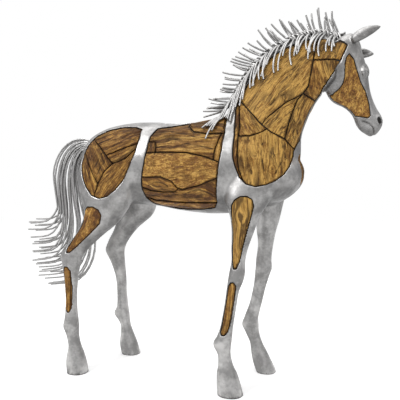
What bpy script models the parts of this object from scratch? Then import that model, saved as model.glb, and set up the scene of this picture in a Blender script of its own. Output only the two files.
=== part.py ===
"""Standing horse of cast aluminium with fitted driftwood panels and a mane and tail of aluminium rod.

The horse faces +X and stands on Z = 0, with its left side towards +Y. The figure's own points are given
in hundredths of its height at the withers, so the pose keeps its proportions when that height changes.
Walls, gaps and rod sizes are real sizes in metres.
"""

import math

import bmesh
import bpy
import numpy as np
from mathutils import Matrix, Vector
from mathutils.bvhtree import BVHTree

# Driving sizes, in metres.
WITHERS_HEIGHT = 1.50
SHARE = WITHERS_HEIGHT / 100.0
VOXEL = 0.009
CASTING_FACES = 1500
CORE_FACES = 260
WOOD_SHARE = 0.7
BODY_SHARE = 0.74

# The middle of the whole sculpture's footprint, in hundredths, measured from the middle of its four hooves.
MIDDLE_X = 4.4
MIDDLE_Y = 0.0

# Trunk stations along X: x, top, bottom, half width, height of the widest point, and the exponent of the
# upper half's arch.
TRUNK = (
    (-39.6, 89.0, 76.0, 5.0, 83.0, 2.0),
    (-37.5, 93.5, 73.0, 9.0, 83.5, 2.0),
    (-33.0, 96.8, 70.5, 12.6, 84.0, 2.0),
    (-26.0, 99.0, 68.5, 14.6, 84.0, 2.1),
    (-16.0, 100.2, 67.0, 14.8, 84.0, 2.1),
    (-6.0, 99.8, 66.2, 14.6, 81.5, 2.1),
    (3.0, 98.6, 64.6, 15.2, 79.5, 2.1),
    (11.0, 98.8, 63.6, 15.4, 79.0, 2.0),
    (18.0, 99.8, 63.2, 15.0, 79.0, 1.8),
    (26.0, 100.0, 63.6, 14.2, 79.5, 1.7),
    (34.0, 97.0, 65.0, 13.6, 80.0, 1.9),
    (41.0, 91.0, 66.8, 12.4, 79.5, 2.0),
    (46.0, 86.5, 69.4, 10.0, 78.5, 2.0),
    (49.4, 83.0, 72.6, 7.0, 78.0, 2.0),
    (51.0, 80.5, 75.5, 3.4, 78.0, 2.0),
)

# Neck stations: crest x, crest z, throat x, throat z, half width, y of the crest, y of the throat.
NECK = (
    (15.5, 96.0, 42.0, 68.5, 11.6, 0.0, 0.0),
    (21.5, 100.2, 48.6, 76.5, 12.4, 0.0, 0.0),
    (26.0, 107.6, 50.0, 84.0, 11.4, 0.0, 0.0),
    (30.6, 115.0, 50.2, 90.0, 9.8, 0.0, 0.0),
    (36.4, 121.2, 51.6, 95.2, 8.4, 0.2, 0.0),
    (43.6, 125.4, 53.4, 99.4, 7.3, 0.6, 0.0),
    (51.8, 127.8, 56.0, 103.6, 6.4, 1.2, -0.3),
    (59.0, 127.4, 59.0, 107.0, 5.4, 2.0, -1.0),
    (64.0, 124.6, 62.0, 110.0, 4.8, 2.6, -1.4),
)
CREST_NARROWING = 0.42

# Head stations in its own frame: distance below the poll along the face, forehead, jaw, half width, and how
# far down the side the widest point lies, as a share of the depth.
HEAD = (
    (-2.6, -0.6, -4.4, 2.0, 0.50),
    (-1.0, 0.9, -7.5, 3.4, 0.48),
    (2.0, 1.5, -10.5, 4.3, 0.45),
    (5.5, 1.3, -12.6, 5.0, 0.42),
    (9.0, 1.4, -13.6, 5.5, 0.40),
    (12.0, 1.4, -14.1, 5.6, 0.40),
    (15.5, 1.0, -14.0, 5.0, 0.42),
    (18.5, 0.7, -12.6, 4.3, 0.42),
    (21.5, 0.8, -9.4, 3.7, 0.42),
    (25.0, 1.4, -7.4, 3.2, 0.42),
    (28.5, 2.4, -7.0, 3.2, 0.42),
    (31.2, 2.0, -5.9, 3.1, 0.45),
    (33.0, 0.4, -4.4, 2.4, 0.45),
    (34.2, -1.2, -3.4, 1.2, 0.50),
)
POLL = (68.2, 2.4, 124.2)
FACE_SLOPE = 72.0
HEAD_YAW = 19.0
HEAD_ROLL = 9.0

# Legs: z, back edge x, front edge x, y of the middle, half width.
RIGHT_FORE = (
    (84.0, 27.0, 42.0, -8.4, 4.2),
    (76.0, 24.6, 43.0, -8.8, 5.4),
    (68.5, 24.4, 41.0, -9.4, 5.6),
    (62.5, 26.6, 37.4, -10.0, 5.0),
    (57.0, 27.4, 35.3, -10.6, 4.1),
    (50.5, 27.5, 33.1, -11.4, 3.2),
    (46.5, 27.6, 32.4, -11.8, 2.9),
    (42.8, 26.9, 32.5, -12.1, 3.1),
    (39.5, 26.4, 31.8, -12.3, 2.9),
    (36.0, 25.9, 30.4, -12.5, 2.4),
    (30.0, 25.0, 29.4, -12.7, 2.15),
    (23.0, 23.7, 28.3, -12.9, 2.2),
    (19.0, 22.2, 27.9, -13.0, 2.6),
    (16.6, 21.6, 27.6, -13.0, 2.7),
    (13.5, 22.9, 27.5, -13.0, 2.3),
    (9.8, 23.0, 28.5, -13.0, 2.5),
    (7.2, 22.6, 29.8, -13.0, 3.3),
    (3.6, 22.6, 31.0, -13.0, 3.9),
    (0.0, 22.9, 31.9, -13.0, 4.3),
    (-2.0, 23.0, 32.3, -13.0, 4.4),
)
LEFT_FORE = (
    (84.0, 27.0, 42.0, 8.4, 4.2),
    (76.0, 25.4, 43.6, 8.8, 5.4),
    (68.5, 27.0, 42.6, 9.4, 5.4),
    (62.0, 31.0, 41.0, 10.0, 4.6),
    (56.4, 31.6, 39.3, 10.8, 3.9),
    (50.8, 31.9, 38.0, 11.6, 3.2),
    (45.2, 31.2, 37.2, 12.0, 3.0),
    (41.6, 30.8, 37.4, 12.2, 3.1),
    (38.0, 30.4, 36.2, 12.4, 2.8),
    (33.5, 29.8, 34.8, 12.5, 2.4),
    (27.0, 28.2, 33.2, 12.7, 2.2),
    (21.5, 26.2, 31.8, 12.8, 2.5),
    (18.4, 25.4, 31.9, 12.9, 2.7),
    (15.2, 26.4, 32.1, 12.9, 2.4),
    (11.2, 28.3, 33.3, 12.9, 2.3),
    (8.0, 28.8, 35.0, 12.9, 3.1),
    (4.0, 29.5, 37.0, 12.9, 3.8),
    (0.0, 30.9, 38.8, 12.9, 4.2),
    (-2.0, 31.4, 39.4, 12.9, 4.3),
)
RIGHT_HIND = (
    (93.0, -30.0, -14.0, -7.0, 4.5),
    (86.0, -36.0, -11.5, -8.2, 6.2),
    (78.0, -38.0, -11.0, -9.0, 6.6),
    (70.5, -36.6, -12.5, -9.6, 6.2),
    (64.5, -34.0, -15.6, -10.2, 5.4),
    (59.0, -35.2, -20.2, -10.6, 4.6),
    (54.5, -38.0, -26.0, -11.0, 3.8),
    (50.0, -41.6, -31.2, -11.4, 3.1),
    (46.0, -44.4, -34.6, -11.9, 2.8),
    (42.0, -43.4, -35.9, -12.2, 2.9),
    (38.0, -42.5, -36.6, -12.5, 2.7),
    (32.0, -41.6, -36.9, -12.9, 2.3),
    (25.5, -41.2, -36.6, -13.2, 2.3),
    (21.0, -41.5, -36.0, -13.4, 2.6),
    (18.0, -41.8, -35.6, -13.5, 2.8),
    (14.4, -40.4, -35.5, -13.6, 2.4),
    (10.4, -39.4, -34.4, -13.7, 2.5),
    (7.0, -39.9, -32.9, -13.7, 3.2),
    (3.5, -40.2, -31.9, -13.7, 3.7),
    (0.0, -39.6, -31.3, -13.7, 4.0),
    (-2.0, -39.4, -31.0, -13.7, 4.1),
)
LEFT_HIND = (
    (93.0, -30.0, -14.0, 7.0, 4.5),
    (86.0, -36.0, -11.5, 8.2, 6.2),
    (78.0, -38.0, -11.0, 9.0, 6.6),
    (70.5, -35.0, -12.0, 9.6, 6.2),
    (63.0, -31.6, -14.4, 10.4, 5.2),
    (56.5, -33.0, -22.4, 11.0, 4.2),
    (50.5, -36.8, -27.6, 11.6, 3.3),
    (46.0, -38.2, -29.4, 12.0, 2.9),
    (41.0, -36.0, -29.4, 12.4, 2.8),
    (35.0, -33.9, -29.0, 12.8, 2.4),
    (28.0, -33.2, -28.8, 13.1, 2.2),
    (21.5, -33.3, -28.2, 13.3, 2.5),
    (17.6, -34.6, -27.7, 13.5, 2.7),
    (13.0, -31.8, -27.2, 13.6, 2.3),
    (8.6, -31.6, -25.6, 13.7, 2.8),
    (4.6, -32.0, -23.9, 13.7, 3.5),
    (0.0, -30.9, -22.6, 13.7, 3.9),
    (-2.0, -30.4, -22.2, 13.7, 4.0),
)
LEGS = {
    "right_fore": RIGHT_FORE,
    "left_fore": LEFT_FORE,
    "right_hind": RIGHT_HIND,
    "left_hind": LEFT_HIND,
}


# Head details, in the head's own frame: forward, left, down.
EYE = (-0.9, 4.4, 11.6)
EYE_RADIUS = 1.5
NEAR_EAR = ((67.6, -2.6, 122.6), (77.2, -4.2, 125.4))
FAR_EAR = ((67.2, 6.4, 120.4), (75.4, 8.8, 120.6))
EAR_WIDTH = 1.9
EAR_DEPTH = 1.25

# Panels on the right side, as outlines in x and z. The left side mirrors them.
NECK_PANEL = (
    (66.0, 121.3), (64.6, 118.0), (63.2, 115.0), (61.8, 112.3), (60.0, 109.8), (57.6, 106.6), (55.4, 103.0),
    (53.4, 99.2), (51.8, 95.2), (50.4, 91.4), (49.2, 88.0), (48.2, 85.0), (47.8, 82.0), (47.2, 79.4),
    (45.6, 76.7), (43.0, 74.7), (40.0, 73.2), (36.6, 72.5), (33.4, 73.4), (30.9, 75.9), (29.4, 79.4),
    (28.4, 83.0), (28.2, 87.0), (28.2, 91.0), (27.4, 96.0), (27.2, 101.5), (28.9, 106.4), (32.6, 112.4),
    (37.6, 118.2), (43.9, 122.2), (51.8, 125.0), (58.8, 124.9), (63.4, 123.4),
)
BARREL_PANEL = (
    (-2.6, 95.6), (-4.3, 92.2), (-4.8, 87.0), (-5.8, 82.0), (-7.0, 76.5), (-7.9, 72.5), (-7.6, 69.2),
    (-5.5, 66.9), (-1.0, 65.7), (7.0, 65.0), (14.0, 64.8), (20.0, 65.4), (21.6, 67.2), (22.2, 71.6),
    (23.0, 77.8), (24.0, 85.7), (24.3, 92.2), (23.8, 97.0), (22.6, 104.0), (8.4, 104.0), (8.2, 97.4),
    (4.0, 96.5),
)
RUMP_PANEL = (
    (-9.0, 95.6), (-8.8, 91.5), (-9.8, 86.0), (-12.5, 80.2), (-15.8, 74.8), (-18.0, 72.0), (-21.0, 69.8),
    (-24.5, 69.0), (-28.0, 70.2), (-30.8, 73.5), (-32.8, 77.5), (-34.2, 82.0), (-34.2, 86.5), (-32.5, 90.5),
    (-29.5, 93.8), (-24.5, 96.2), (-18.8, 97.0), (-12.5, 96.8),
)
CHEEK_PANEL = (
    (-4.4, 4.3), (-3.6, 6.5), (-3.7, 10.5), (-3.4, 14.5), (-2.1, 18.2), (-1.8, 22.6), (-2.3, 26.8),
    (-3.2, 27.2), (-6.0, 25.6), (-8.9, 25.0), (-11.5, 22.5), (-14.0, 20.0), (-16.0, 17.5), (-16.0, 13.6),
    (-13.8, 15.4), (-12.7, 15.7), (-11.4, 15.0), (-9.9, 14.2), (-8.8, 13.0), (-7.8, 11.0), (-6.6, 7.0),
    (-5.4, 5.0),
)
# The block over the withers, in x and y, and the breast panel, in y and z.
SADDLE_BLOCK = (
    (7.9, 1.6), (9.4, 5.4), (11.6, 8.2), (17.0, 8.8), (23.6, 8.8), (22.4, 0.0),
    (23.6, -8.8), (17.0, -8.8), (11.6, -8.2), (9.4, -5.4), (7.9, -1.6),
)
BREAST_PANEL = (
    (0.0, 84.8), (1.8, 83.8), (3.0, 81.8), (3.5, 79.2), (3.1, 76.4), (1.8, 74.3),
    (0.0, 73.5), (-1.8, 74.3), (-3.1, 76.4), (-3.5, 79.2), (-3.0, 81.8), (-1.8, 83.8),
)
# How near the middle plane the side panels may reach, and how far back the breast panel does.
NECK_REACH = 0.8
BARREL_REACH = 3.5
RUMP_REACH = 5.5
CHEEK_REACH = 0.8
BREAST_REACH = 48.8

# Leg panels: height, then the shares of the leg's width, from its back edge, between which the wood lies.
# Each reaches in as far as the y at the end of its row in LEG_PANELS.
FOREARM_PANEL = (
    (69.0, 0.42, 0.56), (68.0, 0.31, 0.67), (65.8, 0.20, 0.75), (62.5, 0.13, 0.78), (57.5, 0.11, 0.77),
    (51.0, 0.13, 0.75), (46.5, 0.17, 0.69), (44.2, 0.34, 0.54),
)
FORE_CANNON_PANEL = (
    (39.2, 0.33, 0.52), (38.2, 0.21, 0.70), (34.5, 0.20, 0.80), (30.0, 0.20, 0.81), (25.5, 0.18, 0.80),
    (22.0, 0.19, 0.72), (20.8, 0.36, 0.56),
)
GASKIN_PANEL = (
    (65.6, 0.20, 0.36), (64.4, 0.11, 0.50), (62.3, 0.09, 0.62), (59.3, 0.09, 0.68), (56.8, 0.09, 0.66),
    (53.3, 0.11, 0.62), (49.4, 0.15, 0.54), (47.4, 0.27, 0.42),
)
HIND_CANNON_PANEL = (
    (41.6, 0.30, 0.48), (40.0, 0.17, 0.68), (34.3, 0.14, 0.78), (26.6, 0.15, 0.78), (24.6, 0.20, 0.68),
    (23.8, 0.36, 0.54),
)
LEG_PANELS = (
    ("forearm", "fore", FOREARM_PANEL, 12.6),
    ("fore_cannon", "fore", FORE_CANNON_PANEL, 13.6),
    ("gaskin", "hind", GASKIN_PANEL, 12.6),
    ("hind_cannon", "hind", HIND_CANNON_PANEL, 13.7),
)

# Cracks between the fitted pieces of a panel, as lines in x and z that run past the panel's edge.
NECK_CRACKS = (
    ((54.2, 116.9), (56.7, 116.6), (59.1, 116.5), (67.0, 116.0)),
    ((55.9, 127.0), (55.6, 122.0), (54.6, 114.4), (53.3, 107.6), (51.5, 105.1)),
    ((51.9, 105.3), (45.5, 101.7), (41.9, 98.7), (39.0, 96.1), (37.7, 94.0)),
    ((27.0, 106.5), (30.7, 102.5), (34.2, 98.6), (38.1, 94.0)),
    ((37.7, 94.6), (40.7, 91.8), (45.6, 89.1), (48.2, 86.1), (51.0, 83.0)),
    ((51.7, 105.3), (49.6, 103.0), (48.3, 99.5), (46.9, 95.3), (45.5, 88.8)),
    ((28.0, 106.0), (28.9, 100.0), (29.6, 90.5), (29.9, 83.6), (30.6, 78.3), (32.7, 73.4), (34.0, 70.0)),
    ((29.2, 90.7), (33.8, 90.7), (38.1, 91.8), (39.9, 92.9)),
    ((51.3, 105.2), (54.0, 103.6), (58.5, 102.0)),
)
BARREL_CRACKS = (
    ((-8.0, 85.9), (2.2, 85.8), (11.4, 85.2), (18.0, 83.6), (23.3, 81.4), (27.0, 80.0)),
    ((-8.0, 90.3), (-1.8, 90.0), (-1.3, 87.5), (-1.3, 85.2)),
    ((23.5, 93.0), (22.9, 91.0), (21.6, 85.5), (21.4, 81.6)),
    (
        (-10.0, 77.0), (1.1, 76.7), (5.3, 75.2), (7.7, 72.6), (9.5, 71.8), (15.8, 73.3), (22.6, 75.6),
        (26.0, 76.7),
    ),
    ((-11.0, 74.0), (-7.8, 73.2), (-4.2, 71.9), (1.5, 71.2), (6.6, 71.3), (8.6, 72.6)),
    ((-11.0, 71.0), (-8.3, 69.9), (-3.5, 68.3), (9.2, 67.3), (20.3, 67.2), (25.0, 67.4)),
    ((7.0, 99.5), (9.6, 96.0), (12.5, 93.4), (17.3, 92.3), (24.3, 92.2), (27.0, 92.2)),
)
RUMP_CRACKS = (
    ((-34.0, 96.5), (-29.7, 92.5), (-25.7, 89.4), (-22.2, 85.8), (-19.1, 82.2)),
    ((-19.6, 82.3), (-13.8, 83.9), (-10.6, 86.8), (-6.0, 91.0)),
    ((-19.0, 82.7), (-22.5, 79.3), (-25.0, 74.9), (-26.4, 71.1), (-27.4, 66.0)),
    ((-37.0, 92.0), (-31.7, 85.1), (-28.4, 79.7), (-25.1, 74.6)),
    ((-22.8, 85.3), (-15.0, 87.9), (-9.5, 89.7), (-5.0, 91.2)),
)

# The fitted pieces of each panel, with a point near the middle of each.
NECK_PIECES = {
    "neck_throat_block": (57.5, 111.0),
    "neck_poll_block": (60.0, 120.0),
    "neck_crest_plank": (44.0, 111.0),
    "neck_middle_wedge": (45.0, 97.0),
    "neck_throat_strip": (49.8, 95.5),
    "neck_withers_wedge": (32.5, 95.5),
    "shoulder_slab": (38.5, 82.0),
    "shoulder_edge_strip": (29.0, 86.0),
}
BARREL_PIECES = {
    "barrel_withers_plank": (19.0, 93.4),
    "barrel_back_plank": (8.0, 91.0),
    "barrel_corner_block": (-3.2, 88.0),
    "barrel_girth_strip": (23.0, 86.5),
    "barrel_burl": (8.0, 80.0),
    "barrel_leaf": (-1.5, 74.2),
    "barrel_low_plank": (9.0, 69.5),
    "barrel_belly_strip": (8.0, 66.2),
}
RUMP_PIECES = {
    "rump_croup_plank": (-19.0, 91.5),
    "rump_hip_wedge": (-14.0, 86.2),
    "rump_thigh_slab": (-19.5, 76.5),
    "rump_striped_block": (-26.5, 83.5),
    "rump_edge_sliver": (-30.0, 77.5),
}

# Sizes of the joinery, in metres.
WOOD_DEPTH = 0.022
LIMB_WOOD_DEPTH = 0.012
GROOVE = 0.0032
CRACK = 0.0034
BED_GAP = 0.0014
SEAT_GAP = 0.0006

# Rods of the mane and tail.
ROD_DIAMETER = 0.010
CREST_LINE = (
    (24.6, 104.8, 0.0), (26.4, 108.0, 0.0), (30.6, 115.0, 0.0), (36.4, 121.2, 0.2), (43.6, 125.4, 0.6),
    (51.8, 127.8, 1.2), (59.0, 127.4, 2.0), (64.6, 125.0, 2.6),
)
CREST_CELLS = 32
PLAIT_WIDTH = 2.5
PLAIT_HEIGHT = 1.0
PLAIT_SEAT = 1.8
STANDING_LENGTH = (9.6, 8.6)
HANGING_LENGTH = (15.5, 8.0)

DOCK = (-37.6, 0.0, 90.6)
DOCK_SLOPE = 24.0
DOCK_ROWS = 5
DOCK_COLUMNS = 5
DOCK_CELL = 0.92
DOCK_LENGTH = 3.6
# Three tail rods in side view, the outermost, a middle one and the innermost.
TAIL_OUTER = ((-46.0, 93.6), (-53.2, 87.4), (-54.8, 74.0), (-57.2, 63.0), (-68.8, 59.6))
TAIL_MIDDLE = ((-44.4, 91.8), (-49.8, 82.0), (-49.6, 66.0), (-53.4, 50.0), (-67.2, 44.2))
TAIL_INNER = ((-43.0, 89.8), (-45.4, 76.0), (-39.6, 55.0), (-44.0, 37.0), (-62.6, 29.8))
TAIL_SPREAD = 4.4


def point(x, y, z):
    """A point given in hundredths of the withers height, in metres from the middle of the footprint."""
    return Vector(((x - MIDDLE_X) * SHARE, (y - MIDDLE_Y) * SHARE, z * SHARE))


def clear_scene():
    """Removes the objects of the scene that the script starts in."""
    for found in list(bpy.data.objects):
        bpy.data.objects.remove(found, do_unlink=True)


def add_mesh(name, vertices, faces):
    """An object of these points and faces, linked to the scene, with its normals made to point out."""
    mesh = bpy.data.meshes.new(name)
    mesh.from_pydata([tuple(v) for v in vertices], [], faces)
    shape = bmesh.new()
    shape.from_mesh(mesh)
    bmesh.ops.recalc_face_normals(shape, faces=shape.faces)
    shape.to_mesh(mesh)
    shape.free()
    added = bpy.data.objects.new(name, mesh)
    bpy.context.scene.collection.objects.link(added)
    return added


def loft(name, rings):
    """A closed skin through rings of equally many points, capped flat at both ends."""
    count = len(rings[0])
    vertices = [p for ring in rings for p in ring]
    faces = []
    for i in range(len(rings) - 1):
        low = i * count
        for j in range(count):
            k = (j + 1) % count
            faces.append((low + j, low + k, low + count + k, low + count + j))
    faces.append(tuple(range(count)))
    last = (len(rings) - 1) * count
    faces.append(tuple(reversed(range(last, last + count))))
    return add_mesh(name, vertices, faces)


def oval(theta, power):
    """Across and up shares of a superellipse at an angle measured from its top."""
    across = math.copysign(abs(math.sin(theta)) ** (2.0 / power), math.sin(theta))
    up = math.copysign(abs(math.cos(theta)) ** (2.0 / power), math.cos(theta))
    return across, up


def smoothed(stations, steps):
    """The stations with Catmull-Rom points put in between them, so that a loft runs smoothly through them."""
    rows = []
    last = len(stations) - 1
    for i in range(last):
        a, b = stations[max(i - 1, 0)], stations[i]
        c, d = stations[i + 1], stations[min(i + 2, last)]
        for step in range(steps):
            t = step / steps
            rows.append(
                tuple(
                    0.5 * (2 * q + (r - p) * t + (2 * p - 5 * q + 4 * r - s) * t * t)
                    + 0.5 * (3 * q - p - 3 * r + s) * t**3
                    for p, q, r, s in zip(a, b, c, d)
                )
            )
    rows.append(tuple(stations[last]))
    return rows


def trunk(depth, steps=3, around=28):
    """The barrel of the body, from the buttocks to the breast, drawn in by a depth in hundredths."""
    rings = []
    for x, top, bottom, half, widest, roof in smoothed(TRUNK, steps):
        x -= depth * (x - 5.0) / 45.0
        top, bottom, half = top - depth, bottom + depth, max(0.6, half - depth)
        ring = []
        for j in range(around):
            theta = 2 * math.pi * j / around
            power = roof if math.cos(theta) > 0 else 2.3
            across, up = oval(theta, power)
            reach = top - widest if up > 0 else widest - bottom
            ring.append(point(x, half * across, widest + reach * up))
        rings.append(ring)
    return loft("trunk", rings)


def neck(depth, steps=3, around=24):
    """The neck, thin at the crest and thick at the throat, drawn in by a depth in hundredths."""
    rings = []
    for crest_x, crest_z, throat_x, throat_z, half, crest_y, throat_y in smoothed(NECK, steps):
        span = math.hypot(crest_x - throat_x, crest_z - throat_z)
        run_x, run_z = (throat_x - crest_x) / span * depth, (throat_z - crest_z) / span * depth
        crest_x, crest_z = crest_x + run_x, crest_z + run_z
        throat_x, throat_z = throat_x - run_x, throat_z - run_z
        half -= depth
        ring = []
        for j in range(around):
            theta = 2 * math.pi * j / around
            across, up = oval(theta, 2.1)
            narrowing = 1.0 - CREST_NARROWING * (up * 0.5 + 0.5) ** 1.5
            x = (crest_x + throat_x) / 2 + (crest_x - throat_x) / 2 * up
            z = (crest_z + throat_z) / 2 + (crest_z - throat_z) / 2 * up
            middle_y = (crest_y + throat_y) / 2 + (crest_y - throat_y) / 2 * up
            ring.append(point(x, middle_y + half * across * narrowing, z))
        rings.append(ring)
    return loft("neck", rings)


def head_frame():
    """The matrix that carries the head's own frame to the world. In it +X is out of the forehead, +Y is left
    and -Z runs down the face, in hundredths."""
    slope = Matrix.Rotation(-math.radians(90.0 - FACE_SLOPE), 4, "Y")
    yaw = Matrix.Rotation(math.radians(HEAD_YAW), 4, "Z")
    roll = Matrix.Rotation(math.radians(HEAD_ROLL), 4, "X")
    place = Matrix.Translation(point(*POLL))
    return place @ yaw @ roll @ slope @ Matrix.Scale(SHARE, 4)


def head(depth, steps=3, around=24):
    """The head, from the poll to the lips, drawn in by a depth in hundredths."""
    carry = head_frame()
    rings = []
    for down, forehead, jaw, half, widest in smoothed(HEAD, steps):
        ring = []
        down -= depth * (down - 16.0) / 18.0
        forehead, jaw, half = forehead - depth, jaw + depth, max(0.3, half - depth)
        middle = forehead - (forehead - jaw) * widest
        for j in range(around):
            theta = 2 * math.pi * j / around
            across, up = oval(theta, 2.2)
            reach = forehead - middle if up > 0 else middle - jaw
            pinch = 1.0 if up > 0 else 1.0 - 0.45 * up * up
            ring.append(carry @ Vector((middle + reach * up, half * across * pinch, -down)))
        rings.append(ring)
    return loft("head", rings)


def leg(name, stations, depth, steps=3, around=20):
    """One leg, as level slices from the body down past the ground, drawn in by a depth in hundredths."""
    rings = []
    for z, back, front, middle_y, half in smoothed(stations, steps):
        ring = []
        back, front, half = back + depth, front - depth, half - depth
        for j in range(around):
            theta = 2 * math.pi * j / around
            across, along = oval(theta, 2.2)
            ring.append(point((back + front) / 2 + (front - back) / 2 * along, middle_y + half * across, z))
        rings.append(ring)
    return loft(name, rings)


def link(obj, material):
    """Puts a finished part in the horse's collection, with its material."""
    for owner in list(obj.users_collection):
        owner.objects.unlink(obj)
    bpy.data.collections["driftwood_horse"].objects.link(obj)
    obj.data.materials.clear()
    obj.data.materials.append(material)
    for polygon in obj.data.polygons:
        polygon.material_index = 0


def bake(obj):
    """Replaces the object's mesh by the one that its modifiers make."""
    bpy.context.view_layer.update()
    graph = bpy.context.evaluated_depsgraph_get()
    mesh = bpy.data.meshes.new_from_object(obj.evaluated_get(graph))
    obj.modifiers.clear()
    obj.data = mesh
    return obj


def joined(name, pieces):
    """One object of the meshes of several, which are removed."""
    shape = bmesh.new()
    for piece in pieces:
        shape.from_mesh(piece.data)
        bpy.data.objects.remove(piece, do_unlink=True)
    mesh = bpy.data.meshes.new(name)
    shape.to_mesh(mesh)
    shape.free()
    made = bpy.data.objects.new(name, mesh)
    bpy.context.scene.collection.objects.link(made)
    return made


def boolean(target, operation, others):
    """Applies an exact Boolean with each of these objects at once, and removes them."""
    group = bpy.data.collections.new("operands")
    bpy.context.scene.collection.children.link(group)
    for other in others:
        group.objects.link(other)
    change = target.modifiers.new("boolean", "BOOLEAN")
    change.operation = operation
    change.solver = "EXACT"
    change.operand_type = "COLLECTION"
    change.collection = group
    bake(target)
    for other in others:
        bpy.data.objects.remove(other, do_unlink=True)
    bpy.data.collections.remove(group)
    return target


def copied(name, source):
    """A copy of an object under another name."""
    made = bpy.data.objects.new(name, source.data.copy())
    bpy.context.scene.collection.objects.link(made)
    return made


def grown(name, source, distance):
    """A copy whose faces lie a distance further out: each point moves so that the planes round it do."""
    made = copied(name, source)
    planes = [[] for _ in made.data.vertices]
    for polygon in made.data.polygons:
        for corner in polygon.vertices:
            planes[corner].append(tuple(polygon.normal))
    for vertex, normals in zip(made.data.vertices, planes):
        move = np.linalg.pinv(np.array(normals), rcond=0.15) @ np.full(len(normals), distance)
        length = float(np.linalg.norm(move))
        vertex.co += Vector(move) * min(1.0, 3.0 * abs(distance) / max(length, 1e-9))
    return made


def ear(name, base, tip):
    """A leaf-shaped ear from its base to its tip."""
    low, high = point(*base), point(*tip)
    along = (high - low).normalized()
    side = along.cross(Vector((0.0, 1.0, 0.0))).normalized()
    across = side.cross(along).normalized()
    rings = []
    for share, width in ((0.0, 0.75), (0.2, 1.0), (0.45, 0.95), (0.7, 0.66), (0.9, 0.34), (1.0, 0.16)):
        middle = low.lerp(high, share)
        ring = []
        for j in range(12):
            theta = 2 * math.pi * j / 12
            reach = side * (math.cos(theta) * EAR_WIDTH) + across * (math.sin(theta) * EAR_DEPTH)
            ring.append(middle + reach * (width * SHARE))
        rings.append(ring)
    return loft(name, rings)


def eye(name, side):
    """The round of an eye and its lids."""
    shape = bmesh.new()
    bmesh.ops.create_icosphere(shape, subdivisions=2, radius=EYE_RADIUS)
    mesh = bpy.data.meshes.new(name)
    carry = head_frame() @ Matrix.Translation((EYE[0], side * EYE[1], -EYE[2]))
    bmesh.ops.transform(shape, matrix=carry @ Matrix.Diagonal((1.15, 0.9, 1.0, 1.0)), verts=shape.verts)
    shape.to_mesh(mesh)
    shape.free()
    made = bpy.data.objects.new(name, mesh)
    bpy.context.scene.collection.objects.link(made)
    return made


def figure(name, depth, head_depth, faces, whole):
    """The horse's form as one skin, drawn in by a depth. Whole, it has its legs, ears and eyes and is cut
    level with the ground. Otherwise it is the core that the panels of the body and head lie on."""
    pieces = [trunk(depth), neck(depth), head(head_depth)]
    if whole:
        pieces += [leg(key, stations, 0.0) for key, stations in LEGS.items()]
        pieces += [ear("near_ear", *NEAR_EAR), ear("far_ear", *FAR_EAR)]
        pieces += [eye("near_eye", -1.0), eye("far_eye", 1.0)]
    form = joined(name, pieces)
    remesh = form.modifiers.new("skin", "REMESH")
    remesh.mode = "VOXEL"
    remesh.voxel_size = VOXEL
    smooth = form.modifiers.new("smooth", "SMOOTH")
    smooth.factor = 0.5
    smooth.iterations = 6
    bake(form)
    fewer = form.modifiers.new("fewer", "DECIMATE")
    fewer.ratio = faces / (2 * len(form.data.polygons))
    bake(form)
    if not whole:
        return form
    shape = bmesh.new()
    shape.from_mesh(form.data)
    everything = shape.verts[:] + shape.edges[:] + shape.faces[:]
    ground = {"plane_co": (0, 0, 0), "plane_no": (0, 0, 1), "clear_inner": True}
    cut = bmesh.ops.bisect_plane(shape, geom=everything, **ground)
    edges = [e for e in cut["geom_cut"] if isinstance(e, bmesh.types.BMEdge)]
    bmesh.ops.holes_fill(shape, edges=edges)
    bmesh.ops.triangulate(shape, faces=shape.faces[:])
    shape.to_mesh(form.data)
    shape.free()
    return form


def offset(outline, distance):
    """A closed outline moved outwards, each corner along its mitre."""
    count = len(outline)
    area = sum(outline[i - 1][0] * outline[i][1] - outline[i][0] * outline[i - 1][1] for i in range(count))
    turn = 1.0 if area > 0 else -1.0
    moved = []
    for i in range(count):
        a, b, c = (Vector(outline[k % count]) for k in (i - 1, i, i + 1))
        first, second = (b - a).normalized(), (c - b).normalized()
        out = Vector((first.y + second.y, -first.x - second.x)) * turn
        mitre = out.normalized()
        share = max(0.5, mitre.dot(Vector((first.y, -first.x)) * turn))
        moved.append(tuple(b + mitre * (distance / share)))
    return moved


def ribbon(line, width):
    """The closed outline of a line given a width."""
    left, right = [], []
    last = len(line) - 1
    for i, here in enumerate(line):
        before, after = Vector(line[max(i - 1, 0)]), Vector(line[min(i + 1, last)])
        run = (after - before).normalized()
        side = Vector((-run.y, run.x)) * (width / 2)
        left.append(tuple(Vector(here) + side))
        right.append(tuple(Vector(here) - side))
    return left + right[::-1]


def prism(name, outline, place, low, high):
    """A straight solid on an outline. Its points come from place(a, b, height)."""
    count = len(outline)
    vertices = [place(a, b, low) for a, b in outline] + [place(a, b, high) for a, b in outline]
    faces = [(i, (i + 1) % count, count + (i + 1) % count, count + i) for i in range(count)]
    faces += [tuple(range(count)), tuple(range(2 * count - 1, count - 1, -1))]
    made = add_mesh(name, vertices, faces)
    shape = bmesh.new()
    shape.from_mesh(made.data)
    bmesh.ops.triangulate(shape, faces=shape.faces[:])
    bmesh.ops.recalc_face_normals(shape, faces=shape.faces[:])
    shape.to_mesh(made.data)
    shape.free()
    return made


def side_prism(name, outline, side, reach):
    """A prism across the body, from near the middle plane outwards on one side."""
    return prism(name, outline, lambda a, b, y: point(a, side * y, b), reach, 30.0)


def cheek_prism(name, outline, side, reach):
    """A prism across the head, from near its middle plane outwards on one side."""
    carry = head_frame()
    return prism(name, outline, lambda a, b, y: carry @ Vector((a, side * y, -b)), reach, 14.0)


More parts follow.
